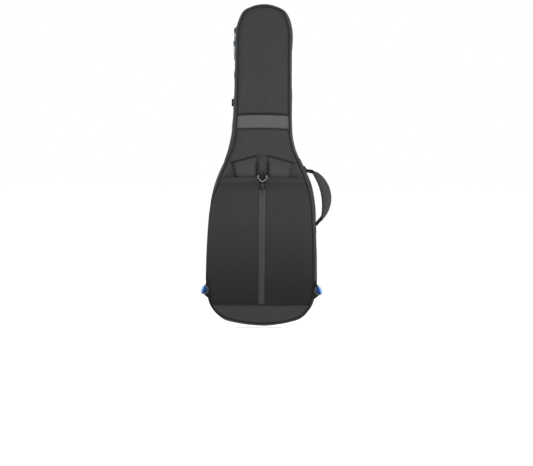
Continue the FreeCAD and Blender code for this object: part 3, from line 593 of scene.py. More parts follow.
def hard(name, colour, roughness, metallic=0.0, scratches=0.25, grain=1500.0, relief=0.00003, worn=None):
    """Metal, plastic or rubber: fine grain, rubbed and scratched roughness, and worn edges."""
    made, tree, shader = new_material(name)
    place = object_place(tree)
    smear = noise(tree, place, 160.0, 4.0, 0.65)
    shown = shaded(tree, colour, around_one(tree, (smear, 0.08)))
    if worn:
        shown = node(tree, "ShaderNodeMix", {"Factor": edge_wear(tree, 0.53, 0.66), 6: shown, 7: (*worn, 1.0)},
                     data_type="RGBA").outputs[2]
    return surfaced((made, tree, shader), shown,
                    calc(tree, "MULTIPLY", around_one(tree, (smear, scratches)), roughness),
                    noise(tree, place, grain, 3.0, 0.6), relief, 0.5, Metallic=metallic)


# painted shade: the shell cloth is darker towards the top of the neck
SHELL = cloth("shell_cloth", (0.0400, 0.0416, 0.0408), painted_shading=[(0.62, 1.0), (0.76, 0.95), (0.97, 0.85)])
# painted shade: the pocket cloth is much darker towards its bottom, as under light from above, with a painted
# shadow under the hem at its top
POCKET = cloth("pocket_cloth", (0.0335, 0.0335, 0.0335), mottle=0.10,
               painted_shading=[(0.06, 0.26), (0.36, 0.96), (0.455, 1.0), (0.489, 0.70)])
BASE_CLOTH = cloth("base_cloth", (0.0390, 0.0390, 0.0390))
GUSSET = cloth("gusset_cloth", (0.041, 0.043, 0.042), pitch=0.0013)
BAND = cloth("band_cloth", (0.094, 0.097, 0.096), pitch=0.0016, relief=0.0003)
STRAP = mesh_cloth("strap_mesh", (0.043, 0.044, 0.044))
GRIP = cloth("grip_cloth", (0.052, 0.053, 0.053), pitch=0.0012)
HEM = cloth("hem_cloth", (0.033, 0.033, 0.033))
# painted light: the cord is about twice as light beside the pocket as at the base and up the neck, against the
# shade the pocket's swell casts on it
PIPING = cloth("piping_cord", (0.025, 0.026, 0.026), pitch=0.0009, sheen=0.03, relief=0.00018, wear=0.5,
               painted_shading=[(0.06, 0.5), (0.10, 1.0), (0.50, 1.0), (0.56, 0.55)])
BINDING = cloth("binding_tape", (0.010, 0.010, 0.011), pitch=0.0010, sheen=0.03, relief=0.00018, wear=0.4)
TAPE = cloth("zip_tape_cloth", (0.016, 0.016, 0.017), pitch=0.0008, sheen=0.05)
# painted shade: the zip strip is darker towards its bottom
STRIP = cloth("zip_strip_cloth", (0.064, 0.064, 0.069), pitch=0.0010, painted_shading=[(0.06, 0.55), (0.40, 1.0)])
WEB = cloth("black_webbing", (0.009, 0.009, 0.010), pitch=0.0017, sheen=0.03, relief=0.0004, wear=0.5)
BLUE = cloth("blue_webbing", (0.24, 0.42, 0.82), pitch=0.0017, sheen=0.25, relief=0.0004, wear=0.6, mottle=0.2)
# painted shade: a darker copy of the blue webbing, for the loops' shaded plies behind the ring's bar
SHADED_BLUE = cloth("blue_webbing_painted_shade", (0.012, 0.045, 0.19), pitch=0.0017, sheen=0.05, relief=0.0004, wear=0.4,
             mottle=0.2)
TAB = cloth("tab_webbing", (0.004, 0.004, 0.004), pitch=0.0017, sheen=0.0, relief=0.0004, wear=0.3)
THREAD = cloth("sewing_thread", (0.030, 0.031, 0.031), pitch=0.0005, relief=0.0001)
DARK_THREAD = cloth("dark_thread", (0.010, 0.010, 0.011), pitch=0.0005, relief=0.0001)
LINING = plush("plush_lining", (0.13, 0.13, 0.14))
FOAM = foam("foam_board", (0.05, 0.05, 0.052))
COIL = hard("zip_coil", (0.020, 0.020, 0.022), 0.35, scratches=0.15)
PALE_COIL = hard("pocket_coil", (0.055, 0.055, 0.060), 0.55, scratches=0.15)
CHROME = hard("ring_plate", (0.42, 0.42, 0.43), 0.13, metallic=1.0, scratches=0.5)
DARK_METAL = hard("corner_ring_plate", (0.17, 0.16, 0.14), 0.22, metallic=1.0, scratches=0.5)
LACQUER = hard("slider_lacquer", (0.010, 0.010, 0.011), 0.34, metallic=0.5, worn=(0.030, 0.030, 0.030))
STEEL = hard("hook_plate", (0.50, 0.50, 0.52), 0.30, metallic=1.0, scratches=0.5)
PLASTIC = hard("black_acetal", (0.012, 0.012, 0.012), 0.45, grain=900.0, relief=0.00008)
RUBBER = hard("pull_rubber", (0.030, 0.030, 0.032), 0.6, grain=700.0, relief=0.00008)
BLUE_RUBBER = hard("pull_tip_rubber", (0.10, 0.20, 0.42), 0.55, grain=700.0, relief=0.00008)


# ---------------------------------- the back's panels


def back_depth(x, z):
    """The back skin's surface: rolled in at the piping, softly crowned, a little uneven."""
    inside = edge_distance(x, z)
    roll = 0.0026 * (1 - ease(inside, 0.0115, 0.026))
    crown = -0.0022 * ease(inside, 0.018, 0.085)
    return roll + crown + 0.0005 * ripple(x, z, 0.16, 3) * ease(inside, 0.01, 0.05)


def front_depth(x, z):
    """The lid skin's surface."""
    return FRONT - back_depth(x, z)


def panel_grid(low, high, depth_at, inset=SKIN_INSET, columns=64, step=0.006, turn=0.0011, seam=0.004,
               turned=(True, True)):
    """Points over a panel between two seams. low and high give a seam's height at x.

    turn is how far the cloth dips into its seams, within about seam of them, and turned says which of the two.
    """
    places = SIDE_PLACES - inset * SIDE_NORMALS
    low_side, high_side = float(low(BODY_HALF)), float(high(BODY_HALF))
    z = places[:, 1]
    rim = places[(z >= up(low_side)) & (z <= up(high_side))]
    if low_side > 0.001:
        rim = np.concatenate([[[np.interp(up(low_side), z, places[:, 0]), up(low_side)]], rim])
    if high_side < LENGTH - 0.001:
        rim = np.concatenate([rim, [[np.interp(up(high_side), z, places[:, 0]), up(high_side)]]])
    along = run_length(rim)
    where = np.linspace(0, along[-1], max(6, round(along[-1] / step)))
    edges = [d for d in (0.0012, 0.003) if d < along[-1] / 8]
    rim = read_off(np.unique(np.concatenate([where, edges, along[-1] - np.array(edges)])), along, rim)
    x = rim[:, :1] * crowded(columns, 1.25)
    bottom, top = rim[0, 1], rim[-1, 1]
    share = (rim[:, 1:] - bottom) / (top - bottom)
    floor = up(low(x)) if low_side > 0.001 else np.full_like(x, bottom)
    ceiling = up(high(x)) if high_side < LENGTH - 0.001 else np.full_like(x, top)
    height = (1 - share) * floor + share * ceiling
    y = depth_at(x, height)
    for near, wanted in ((height - floor, turned[0]), (ceiling - height, turned[1])):
        if wanted:
            y = y + turn * np.exp(-(near / seam) ** 2)
    return np.stack([x, y, height], -1)


def panel(name, node_name, material, points, thickness=SKIN, body="back", slot="shell"):
    """A skin panel as a thin closed solid, thickness being measured into the bag."""
    return stands_for(node_name, body, slot, shell(name, points, points + [0, thickness, 0], material))


def level(height):
    return lambda x: np.full_like(np.asarray(x, float), height)


def arched(height):
    """A seam that is drawn up a little in its middle."""
    return lambda x: height + 0.0035 * (1 - np.clip(np.abs(x) / NECK_HALF, 0, 1) ** 2)


def chevron(x):
    """The yoke's lower edge: flat in the middle and sloping down to each side."""
    return np.interp(np.abs(x), [CHEVRON_INNER, CHEVRON_OUTER], [CHEVRON_TOP, CHEVRON_SIDE])


def yoke_depth(x, z):
    """The yoke lifts over the tops of the straps along its lower edge."""
    above = z - up(chevron(x))
    over_strap = ease(np.abs(x), 0.012, 0.030) * (1 - ease(np.abs(x), 0.103, 0.120))
    return back_depth(x, z) - 0.0042 * over_strap * (1 - ease(above, 0.0, 0.040))


def bay_depth(x, z):
    """The panel behind the straps, with a padded rib up its middle that fades towards the mouth."""
    tall = ease(z, up(0.500), up(0.545)) * (1 - ease(z, up(0.572), up(0.584)))
    return back_depth(x, z) + 0.0022 - 0.0078 * tall * (1 - ease(np.abs(x), 0.0100, 0.0165))


BAND_PROUD, BASE_PROUD = 0.0007, 0.0012  # how far these panels lie over the rest of the skin


def band_depth(x, z):
    return back_depth(x, z) - BAND_PROUD


def base_depth(x, z):
    return back_depth(x, z) - BASE_PROUD


def edge_tape(name, route, across, out, half_width, half_height):
    """A flat dark tape laid along an edge or a seam of the back, in binding cloth: on an edge a binding that also
    stands in for the shadow line there, on a seam only a painted shadow line. across is the way its width runs.
    """
    section = oval(14, across, out, half_width, half_height)
    return place_on("back", "webbing", capped(name, route[:, None, :] + section, BINDING))


def back_panels():
    """The back's cloth panels from the neck to the base, and the dark tapes over the seams between them, which are
    painted shadow lines.
    """
    neck = panel_grid(arched(BAND_TOP), level(LENGTH), back_depth, turn=0.0032, seam=0.0085, turned=(True, False))
    panel("neck_panel_cloth", "neck_panel", SHELL, neck)
    band = panel_grid(arched(BAND_BOTTOM), arched(BAND_TOP - 0.0004), band_depth, step=0.003)
    panel("trim_band_cloth", "trim_band", BAND, band, thickness=0.0025, slot="band")
    yoke = panel_grid(chevron, arched(BAND_BOTTOM - 0.0004), yoke_depth, columns=97, step=0.004,
                      turned=(False, True))
    panel("yoke_cloth", "yoke_panel", SHELL, yoke)
    # the yoke's edge is bound in dark tape, partly a real binding and partly a painted shadow line under that edge
    for side, tag in SIDES:
        x = side * np.linspace(0.0205, 0.108, 60)
        z = up(chevron(x)) - 0.0016
        route = np.stack([x, yoke_depth(x, z) - 0.0002, z], 1)
        edge_tape(f"yoke_binding_{tag}", route, UP, BACK, 0.0028, 0.0012)
    # painted shadow: dark tapes along both seams of the band and along the base seam, for the shadow lines in those
    # seams
    for name, height_at, half_width, half, depth_at in (
            ("band_top_fold", arched(BAND_TOP - 0.0010), 0.0020, 0.0868, back_depth),
            ("band_bottom_fold", arched(BAND_BOTTOM), 0.0015, 0.0868, back_depth),
            ("base_fold", level(BASE_SEAM + 0.0012), 0.0018, 0.158, pocket_depth)):
        x = np.linspace(-half, half, 90)
        z = up(height_at(x))
        edge_tape(name, np.stack([x, depth_at(x, z) - 0.0006, z], 1), UP, BACK, half_width, 0.0007)
    bay = panel_grid(level(0.0675), lambda x: chevron(x) + 0.003, bay_depth, columns=121, step=0.008)
    panel("strap_bay_cloth", "strap_bay_panel", SHELL, bay)
    base = panel_grid(level(0.0), level(BASE_SEAM - 0.0004), base_depth, step=0.005, turned=(False, True))
    panel("base_cloth", "bottom_panel", BASE_CLOTH, base)


# ---------------------------------- the strap pocket

POCKET_INSET = 0.0141
STITCH_LIFT = 0.0002         # how far a row of stitches lies over its cloth
TOOTH, COIL_PITCH = (0.0021, 0.0008, 0.0007), 0.0021  # half sizes of a zip's tooth, and their spacing on a coil


def pocket_depth(x, z):
    """The pocket's cover: it rises from its side and bottom seams and lies over the stowed straps."""
    height = z - BOTTOM
    inside = edge_distance(x, z) - POCKET_INSET
    side = ease(inside, -0.012, 0.040)
    rise = side * (0.12 + 0.88 * ease(height, BASE_SEAM - 0.012, BASE_SEAM + 0.040))
    straps = ease(np.abs(x), 0.016, 0.040) * (1 - ease(np.abs(x), 0.085, 0.125)) * ease(height, 0.17, 0.26)
    slot = 0.0013 * np.exp(-((np.abs(x) - SLOT_HALF) / 0.005) ** 2)
    mouth = 1 - ease(height, 0.44, 0.505) * 0.10
    sag = 0.0007 * ripple(x, z, 0.11, 11) + 0.0005 * ripple(x * 1.6, z, 0.07, 12)
    below = 1 - ease(height - 0.160 - 0.54 * (x - 0.070), -0.034, 0.010)
    fold = 0.0030 * below * ease(x, 0.045, 0.105)
    return -0.0008 - 0.0118 * rise * mouth - 0.0010 * straps * rise + slot * rise + (sag + fold) * side


def pocket_rows(low, high, step):
    """The right pocket edge, inset from the outline, between two heights."""
    places = SIDE_PLACES - POCKET_INSET * SIDE_NORMALS
    heights = np.linspace(low, high, max(3, round((high - low) / step) + 1))
    return np.interp(up(heights), places[:, 1], places[:, 0]), heights


def pocket_half(side, low, high):
    """Points over one half of the cover, from the zip's slot to the side seam."""
    widths, heights = pocket_rows(low, high, 0.006)
    share = np.linspace(0, 1, 44)
    share = np.concatenate([[0.0, 0.006], share[1:-1], [1.0]])
    x = side * (SLOT_HALF + (widths[:, None] - SLOT_HALF) * share)
    z = np.broadcast_to(up(heights)[:, None], x.shape)
    return np.stack([x, pocket_depth(x, z), z], -1)


def hem_line(x):
    """The mouth is drawn down a little towards the sides, where it is sewn in."""
    return -0.0035 * ease(np.abs(x), 0.02, 0.165)


def pocket_line(x, z):
    """A row of stitches on the pocket's cover."""
    x, z = np.broadcast_arrays(x, z)
    return np.stack([x, pocket_depth(x, z) - STITCH_LIFT, z], 1), BACK


def strap_pocket():
    """The pocket over the stowed straps: its two halves, its hem, its stitches and the zip between them."""
    slot = up(np.array([BASE_SEAM + 0.003, 0.488]))
    for side, tag in SIDES:
        outer = pocket_half(side, BASE_SEAM, POCKET_TOP)
        outer[..., 2] += hem_line(outer[..., 0]) * ease(outer[..., 2], up(0.42), up(POCKET_TOP))
        panel(f"pocket_cover_{tag}", f"pocket_panel_{tag}", POCKET, outer)
    widths, heights = pocket_rows(POCKET_TOP - 0.001, HEM_TOP, 0.0025)
    c = np.linspace(-1, 1, 90)
    x = widths[:, None] * c
    z = np.broadcast_to(up(heights)[:, None], x.shape)
    fold = np.sqrt(np.clip(1 - (2 * (heights - heights[0]) / (heights[-1] - heights[0]) - 1) ** 2, 0, 1))[:, None]
    y = pocket_depth(x, z) - 0.0004 - 0.0009 * fold
    outer = np.stack([x, y, z + hem_line(x)], -1)
    panel("pocket_hem_cloth", "pocket_hem", HEM, outer, thickness=0.0026)

    rows = [np.argmin(np.abs(heights - (POCKET_TOP + offset))) for offset in (0.0025, 0.0115)]
    lines = [(outer[row] + [0, -STITCH_LIFT, 0], BACK) for row in rows]
    for side in (LEFT, RIGHT):
        lines.append(pocket_line(side * (SLOT_HALF + 0.0028), np.linspace(*slot, 120)))
        lines.append(pocket_line(side * np.linspace(SLOT_HALF, 0.158, 60), up(BASE_SEAM + 0.0035)))
    stitching("back", "shell", "pocket_stitching", lines, THREAD)

    z = np.linspace(*slot, 90)[:, None]
    x = np.linspace(-SLOT_HALF + 0.0002, SLOT_HALF - 0.0002, 15)[None]
    x, z = np.broadcast_arrays(x, z)
    y = pocket_depth(np.full_like(x, SLOT_HALF), z) - 0.0002 - 0.0007 * (1 - (x / SLOT_HALF) ** 2)
    outer = np.stack([x, y, z], -1)
    tape = shell("pocket_zip_strip", outer, outer + [0, 0.001, 0], [STRIP, TAPE])
    # painted shadow: above the slider's lower end the strip takes the dark tape cloth, for the shade round the
    # slider
    for polygon in tape.data.polygons:
        polygon.material_index = int(polygon.center.z > up(0.463))
    stands_for("pocket_zip_tape", "back", "zip_tape", tape)
    path = np.stack([z[:, 7] * 0, y[:, 7] - 0.0001, z[:, 7]], 1)
    zip_coil("pocket_zip_coil", "back", path, (1, 0, 0), BACK, TOOTH, PALE_COIL)


def zip_coil(name, body, path, across, out, tooth, material):
    """A coil of teeth along a path. across is the way the teeth lie."""
    places = spaced(path, COIL_PITCH)[0]
    lying = np.broadcast_to(np.asarray(across, float), places.shape)
    place_on(body, "zip_tape", beads(name, places, lying, out, *tooth, material))


def strap_edges(height):
    """A shoulder strap's inner and outer edge at a height."""
    heights = [STRAP_END, STRAP_END + 0.040, HEM_TOP, CHEVRON_SIDE - 0.0003, CHEVRON_TOP]
    outer = [0.076, STRAP_MOUTH, STRAP_MOUTH, 0.1015, 0.106]
    inner = [0.036, 0.0218, 0.0218, 0.0218, 0.0218]
    return np.interp(height, heights, inner), np.interp(height, heights, outer)


def strap_face(x, height):
    """A strap's thickness, pinched under the yoke, and how far its face dips into the pocket."""
    thick = 0.0094 * (0.38 + 0.62 * ease(chevron(x) + 0.004 - height, 0.004, 0.034))
    return thick, 0.0042 * (1 - ease(height, HEM_TOP - 0.004, HEM_TOP + 0.017))


def strap_points(side):
    """Closed sections up a padded strap, pinched where the yoke holds it."""
    sections = []
    theta = full_turn(40)
    for share in np.linspace(0, 1, 74):
        height = STRAP_END + share * (CHEVRON_TOP - STRAP_END)
        inner, outer = strap_edges(height)
        middle, half = (inner + outer) / 2, (outer - inner) / 2
        x = middle + half * superellipse(np.cos(theta), 0.42)
        thick, dip = strap_face(x, height)
        thick = thick * (0.45 + 0.55 * ease(share, 0, 0.05))
        bulge = superellipse(np.sin(theta), 0.62)
        z = up(np.minimum(height, chevron(x) + 0.0006))
        y = -0.0013 - thick / 2 * (1 + bulge) + (0.0004 * ripple(x, z, 0.05, 21 + side) + dip) * (bulge > 0)
        sections.append(np.stack([side * x, y, np.broadcast_to(z, x.shape)], -1))
    return np.array(sections)


def shoulder_straps():
    """The stowed straps: padded, with bound edges that are partly painted shadow lines, and their hardware below.
    """
    lines = []
    for side, tag in SIDES:
        pad = capped(f"strap_pad_{tag}", strap_points(side), STRAP)
        stands_for(f"shoulder_strap_{tag}", "back", "strap", pad)
        heights = np.linspace(STRAP_END + 0.01, CHEVRON_SIDE - 0.002, 120)
        inner, outer = strap_edges(heights)
        for edge, inwards, part in ((inner, 1, "inner"), (outer, -1, "outer")):
            x = edge + inwards * 0.0052
            thick, dip = strap_face(x, heights)
            lines.append((np.stack([side * x, -0.0011 - thick + dip, up(heights)], 1), BACK))
            thick, dip = strap_face(edge, heights)
            route = np.stack([side * edge, -0.0013 - thick / 2 + dip / 2, up(heights)], 1)
            # partly painted shadow: the dark binding on the inner edges and the left strap's outer edge also stands
            # for the shade there; the right strap's lit outer edge is bound in the lighter hem cloth instead
            bound = edge_tape(f"strap_binding_{tag}_{part}", route, (1, 0, 0), BACK, 0.0026, 0.0044)
            if (side, part) == (RIGHT, "outer"):
                bound.data.materials[0] = HEM
    stitching("back", "strap", "strap_stitching", lines, DARK_THREAD)
    place_on("back", "buckle", refined("adjusters", "ladder_locks", PLASTIC, 0.0007))
    place_on("back", "webbing", refined("strap_webbing", "strap_webbings", WEB, 0.0004))
    coated("snap_hooks", STEEL)


# ---------------------------------- walls, piping and the main zip


def bulge_at(places):
    """How far the padded wall stands out beyond the seams, or draws in. It differs left and right."""
    heights = [0.000, 0.020, 0.045, 0.070, 0.130, 0.330, 0.400, 0.480, 0.540, 0.567, 0.590, 0.615,
               0.660, 0.740, 0.790, 0.840, 0.858, 0.878, 0.930, 0.965, 1.010, 1.045, 1.085, 1.100]
    left = [3.2, 3.4, 1.0, 3.4, 3.2, -0.4, -4.0, -5.4, -2.4, 1.6, 4.2, 6.6,
            5.5, 3.6, 2.4, 0.8, 2.6, 0.6, 1.4, 0.4, 0.2, -2.4, -3.4, -0.8]
    right = [3.2, 3.0, -0.8, 0.2, 1.8, 0.8, 3.0, 4.6, 2.4, 1.8, -4.0, -4.6,
             -2.0, 0.6, 1.2, 0.8, -1.0, -2.6, -0.6, 2.0, 2.8, 3.0, -0.4, -0.8]
    left, right = (np.interp(places[:, 1] - BOTTOM, heights, side) for side in (left, right))
    return np.where(places[:, 0] < 0, left, right) / 1000


def wall_profile(seam, zip_edge):
    """A wall's section, from its seam at the piping round to the zip, as (inset, depth, share of the bulge)."""
    (seam_inset, seam_depth), (zip_inset, zip_depth) = seam, zip_edge
    turn = np.linspace(0, 1, 17)
    shoulder = 0.017 * np.sign(zip_depth - seam_depth)
    round_share = np.clip(turn / 0.5, 0, 1) * 0.5 * math.pi
    flank_share = np.clip((turn - 0.5) / 0.5, 0, 1)
    inset = seam_inset * (1 - np.sin(round_share)) + zip_inset * flank_share ** 2
    depth = seam_depth + shoulder * (1 - np.cos(round_share))
    depth = depth + (zip_depth - seam_depth - shoulder) * flank_share
    return inset, depth, np.sin(round_share) ** 2 * (1 - flank_share ** 2.2)


WALL_STEP = 0.006


def wall(name, node_name, start, end, seam, zip_edge, body, seed):
    """A padded wall between two places round the outline, thick, soft and a little uneven."""
    path = rail(start, end, WALL_STEP)
    inset, depth, share = wall_profile(seam, zip_edge)
    distance = np.arange(len(path[0]))[:, None] * WALL_STEP
    wave = 0.0006 * ripple(distance, depth[None] * 2, 0.09, seed)
    outer = swept(path, inset[None] - share * (bulge_at(path[0])[:, None] + wave), depth)
    root = depth[0] + np.sign(depth[-1] - depth[0]) * 0.002
    inner = swept(path, np.full(len(depth), 0.0119), np.linspace(root, depth[-1], len(depth)))
    stands_for(node_name, body, "gusset", shell(name, outer, inner, GUSSET))


def walls():
    """The padded walls of the back and the lid, which meet at the main zip."""
    flank, waist, round_all = round_to(HINGE_LOW), round_to(WAIST), 2 * HALF_ROUND
    gap, seam_inset, seam_depth, zip_inset = 0.0003, 0.0110, 0.0030, 0.0014
    back = ((seam_inset, seam_depth), (zip_inset, 0.0505), "back")
    lid = ((seam_inset, FRONT - seam_depth), (zip_inset, 0.0695), "lid")
    for name, cad, start, end, edges, seed in (
            ("wall_bottom", "gusset_bottom", -flank, flank, back, 31),
            ("wall_right", "gusset_right", flank + gap, waist, back, 32),
            ("wall_neck", "gusset_neck", waist + gap, round_all - waist - gap, back, 33),
            ("wall_left", "gusset_left", round_all - waist, round_all - flank - gap, back, 34),
            ("lid_wall_body", "lid_gusset_body", -waist, waist, lid, 41),
            ("lid_wall_neck", "lid_gusset_neck", waist + gap, round_all - waist - gap, lid, 42)):
        wall(name, cad, start, end, *edges, seed)


def piping(name, node_name, body, depth):
    """The bound cord in the seam."""
    theta, step = full_turn(14), 0.005
    path = whole_round(step)
    rows = len(path[0])
    thick = PIPING_RADIUS * (1 + 0.05 * ripple(np.arange(rows)[:, None] * step, np.zeros((rows, 1)), 0.03, 51))
    points = swept(path, PIPING_INSET + thick * np.cos(theta)[None], depth + thick * np.sin(theta)[None])
    stands_for(node_name, body, "piping", closed_cord(name, points, PIPING))


def rim_line(depth_at, out):
    """The row of stitches that holds the piping, all round a face."""
    line = swept(whole_round(0.004), [0.0150], [0.0])[:, 0]
    line[:, 1] = depth_at(line[:, 0], line[:, 2]) + 0.0001 * out[1]
    return np.concatenate([line, line[:1]]), out


def seam_line(height_at, depth_at, offset):
    """A stitched line across the back, offset from a seam."""
    places = SIDE_PLACES - 0.0155 * SIDE_NORMALS
    half = float(np.interp(up(float(height_at(0.09))), places[:, 1], places[:, 0]))
    x = np.linspace(-half, half, 80)
    z = up(height_at(x) + offset)
    return np.stack([x, depth_at(x, z) + 0.0001 * BACK[1], z], 1), BACK


def seams():
    """The piping of both faces and the stitches beside it and across the back."""
    piping("back_piping_cord", "back_piping", "back", PIPING_DEPTH)
    piping("front_piping_cord", "front_piping", "lid", FRONT - PIPING_DEPTH)
    crossing = [(arched(BAND_TOP), back_depth, 0.0045), (arched(BAND_BOTTOM), band_depth, 0.0040),
                (arched(BAND_TOP), band_depth, -0.0045), (arched(BAND_BOTTOM), back_depth, -0.0045),
                (chevron, yoke_depth, 0.0035), (level(BASE_SEAM), base_depth, -0.0040)]
    back_lines = [rim_line(back_depth, BACK)] + [seam_line(*line) for line in crossing]
    stitching("back", "shell", "back_stitching", back_lines, THREAD)
    stitching("lid", "shell", "front_stitching", [rim_line(front_depth, -BACK)], THREAD)


ZIP_TEETH_PITCH = 0.0023


def strip(name, path, outer_inset, inner_inset, depth, material):
    """A thin sheet that follows the outline, between two insets."""
    shape = (len(path[0]), len(depth))
    faces = (swept(path, np.broadcast_to(inset, shape), depth) for inset in (outer_inset, inner_inset))
    return shell(name, *faces, material)


def main_zip():
    """The two tapes and their teeth, which mesh when the lid is shut, and the fabric hinge."""
    start, end = -round_to(HINGE_LOW), 2 * HALF_ROUND - round_to(HINGE_HIGH)
    path = rail(start, end, 0.005)
    deep = np.array([0.0, 1.0, 0.0])
    for tag, body, near, far, shift in (("back", "back", 0.0500, 0.0588, 0.0),
                                        ("front", "lid", 0.0700, 0.0612, 0.5)):
        tape = strip(f"main_zip_tape_{tag}", path, 0.0009, 0.0018, np.linspace(near, far, 6), TAPE)
        stands_for(f"main_zip_{tag}", body, "zip_tape", tape)
        line = swept(rail(start, end, 0.002), [0.0003], [far])[:, 0]
        places, along = spaced(line, ZIP_TEETH_PITCH)
        places = places + along * ZIP_TEETH_PITCH * shift
        out = np.cross(along, deep)
        out *= np.sign((out * places).sum(1))[:, None]
        teeth = beads(f"main_zip_teeth_{tag}", places, np.broadcast_to(deep, along.shape), out, *TOOTH, COIL)
        place_on(body, "zip_tape", teeth)
    flank = rail(end + 0.0005, 2 * HALF_ROUND - round_to(HINGE_LOW) - 0.0005, 0.004)
    depth = np.linspace(0.0500, 0.0700, 15)
    fold = 0.0006 * np.sin(math.pi * (depth - depth[0]) / (depth[-1] - depth[0]))
    cloth_hinge = strip("hinge_cloth", flank, 0.0009 - fold, 0.0020 - fold, depth, GUSSET)
    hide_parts("hinge_gusset")
    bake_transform(cloth_hinge)


DRAWN = 0.0085               # how far the padding pulls the back's seam out at its left side


def drawn_out(left_shift, *names, sink=0.0):
    """Moves the back's seam towards the bag's edge round the base and up its left side, as the padding pulls it.

    sink also lays a piece deeper into the bag along the left side.
    """
    for name in names:
        piece = bpy.data.objects[name]
        points = vertex_places(piece)
        x, y, height = points[:, 0], points[:, 1], points[:, 2] - BOTTOM
        near = 1 - ease(y, 0.003, 0.013)
        left = DRAWN + (left_shift - DRAWN) * ease(height, 0.155, 0.195)
        left = left * (1 - ease(height, 0.36, 0.50))
        right = 0.0040 * (1 - ease(height, 0.05, 0.13))
        edge = ease(np.abs(x), 0.09, 0.165)
        points[:, 1] += sink * (x < -0.1) * ease(height, 0.080, 0.105) * (1 - ease(height, 0.34, 0.44))
        points[:, 0] += np.sign(x) * np.where(x < 0, left, right) * edge * near
        points[:, 2] -= 0.0055 * (1 - ease(height, 0.006, 0.065)) * near
        move_to(piece, points)


# ---------------------------------- zip sliders and pulls


TIP_FROM = 0.62              # the share of a pull's height where its coloured tip starts


def pull_piece(node_name):
    """A moulded pull with its tip in a second colour."""
    made = refined(f"{node_name}_moulded", node_name, RUBBER, 0.0005)
    low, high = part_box(node_name)
    made.data.materials.append(BLUE_RUBBER)
    for polygon in made.data.polygons:
        polygon.material_index = int((high.z - polygon.center.z) / (high.z - low.z) > TIP_FROM)
    return made


PLATE_REACH, BEND = 0.016, 0.022  # from a pull's top to below its slider's plate, and over how much it bends then


def lay_closer(name, near, far):
    """Moves a pull on the left wall towards the bag: near beside its slider's plate and far at its tip."""
    piece = bpy.data.objects[name]
    points = vertex_places(piece)
    below = points[:, 2].max() - points[:, 2]
    points[:, 0] += near + (far - near) * ease(below, PLATE_REACH, PLATE_REACH + BEND)
    move_to(piece, points)


def zip_hardware():
    """Every zip's slider and pull."""
    for name in ("main_slider_lower", "main_slider_upper", "pocket_slider", "body_pocket_slider",
                 "neck_pocket_slider"):
        place_on(name, "slider_metal", refined(f"{name}_cast", name, LACQUER, 0.0006))
    for name in ("main_pull_upper", "body_pocket_pull", "neck_pocket_pull"):
        place_on(name, "pull_cord", pull_piece(name))
    place_on("main_pull_lower", "pull_cord", refined("main_pull_lower_moulded", "main_pull_lower", RUBBER, 0.0005))
    lay_closer("main_pull_upper_moulded", -0.0002, 0.0040)
    lay_closer("main_pull_lower_moulded", 0.0002, 0.0017)
    place_on("pocket_pull", "slider_metal", refined("pocket_pull_cast", "pocket_pull", LACQUER, 0.0005))


# ---------------------------------- corner wings, rings and loops

RING_BAR, RING_LEAN, RING_LEVEL = (0.2000, 0.121), math.radians(20), 0.0066
WING = [(0.1805, 0.156), (0.1868, 0.1495), (0.1945, 0.1350), (0.2010, 0.1110), (0.1990, 0.1045), (0.1860, 0.093),
        (0.1710, 0.086), (0.1785, 0.120)]


def webbing_along(name, profile, thick, columns, origin, fold, out, along, material, sharp):
    """Webbing whose section follows profile, given in the ways fold and out, and whose width runs along."""
    ahead = unit(np.gradient(profile, axis=0))
    side = np.stack([ahead[:, 1], -ahead[:, 0]], 1)
    origin, fold, out, along = (np.array(part, float) for part in (origin, fold, out, along))
    faces = []
    for offset in (thick / 2, -thick / 2):
        flat = (profile + side * offset)[..., None]
        faces.append(origin + flat[:, :1] * fold + flat[:, 1:] * out + columns[None, :, None] * along)
    return shell(name, *faces, material, sharp=sharp)


LOOP_WIDTH, LOOP_RADIUS, LOOP_THICK = 0.025, 0.0027, 0.0012


def folded_loop(name, node_name, middle, along, fold, reach, material, slot, lap, slack=1.0):
    """Webbing of the back, folded round a ring's bar. slack draws out its fold.

    along is the bar's direction and fold the way the ends run. The underside is towards +Y. The lower ply runs
    under the ring's wire to reach, and the upper one ends at lap, inside the ring's opening.
    """
    out = Vector(along).cross(Vector(fold)).normalized()
    if out.y > 0:
        out = -out
    radius = LOOP_RADIUS
    turns = np.linspace(-0.5 * math.pi, -1.5 * math.pi, 15)
    profile = np.array([(reach, -radius), *((slack * radius * math.cos(a), radius * math.sin(a)) for a in turns),
                        (lap * 0.6, radius * 0.5), (lap, -radius + LOOP_THICK * 1.15)])
    made = webbing_along(name, profile, LOOP_THICK, np.linspace(-LOOP_WIDTH / 2, LOOP_WIDTH / 2, 13), middle,
                         Vector(fold).normalized(), out, Vector(along).normalized(), material, 50)
    return stands_for(node_name, "back", slot, made)


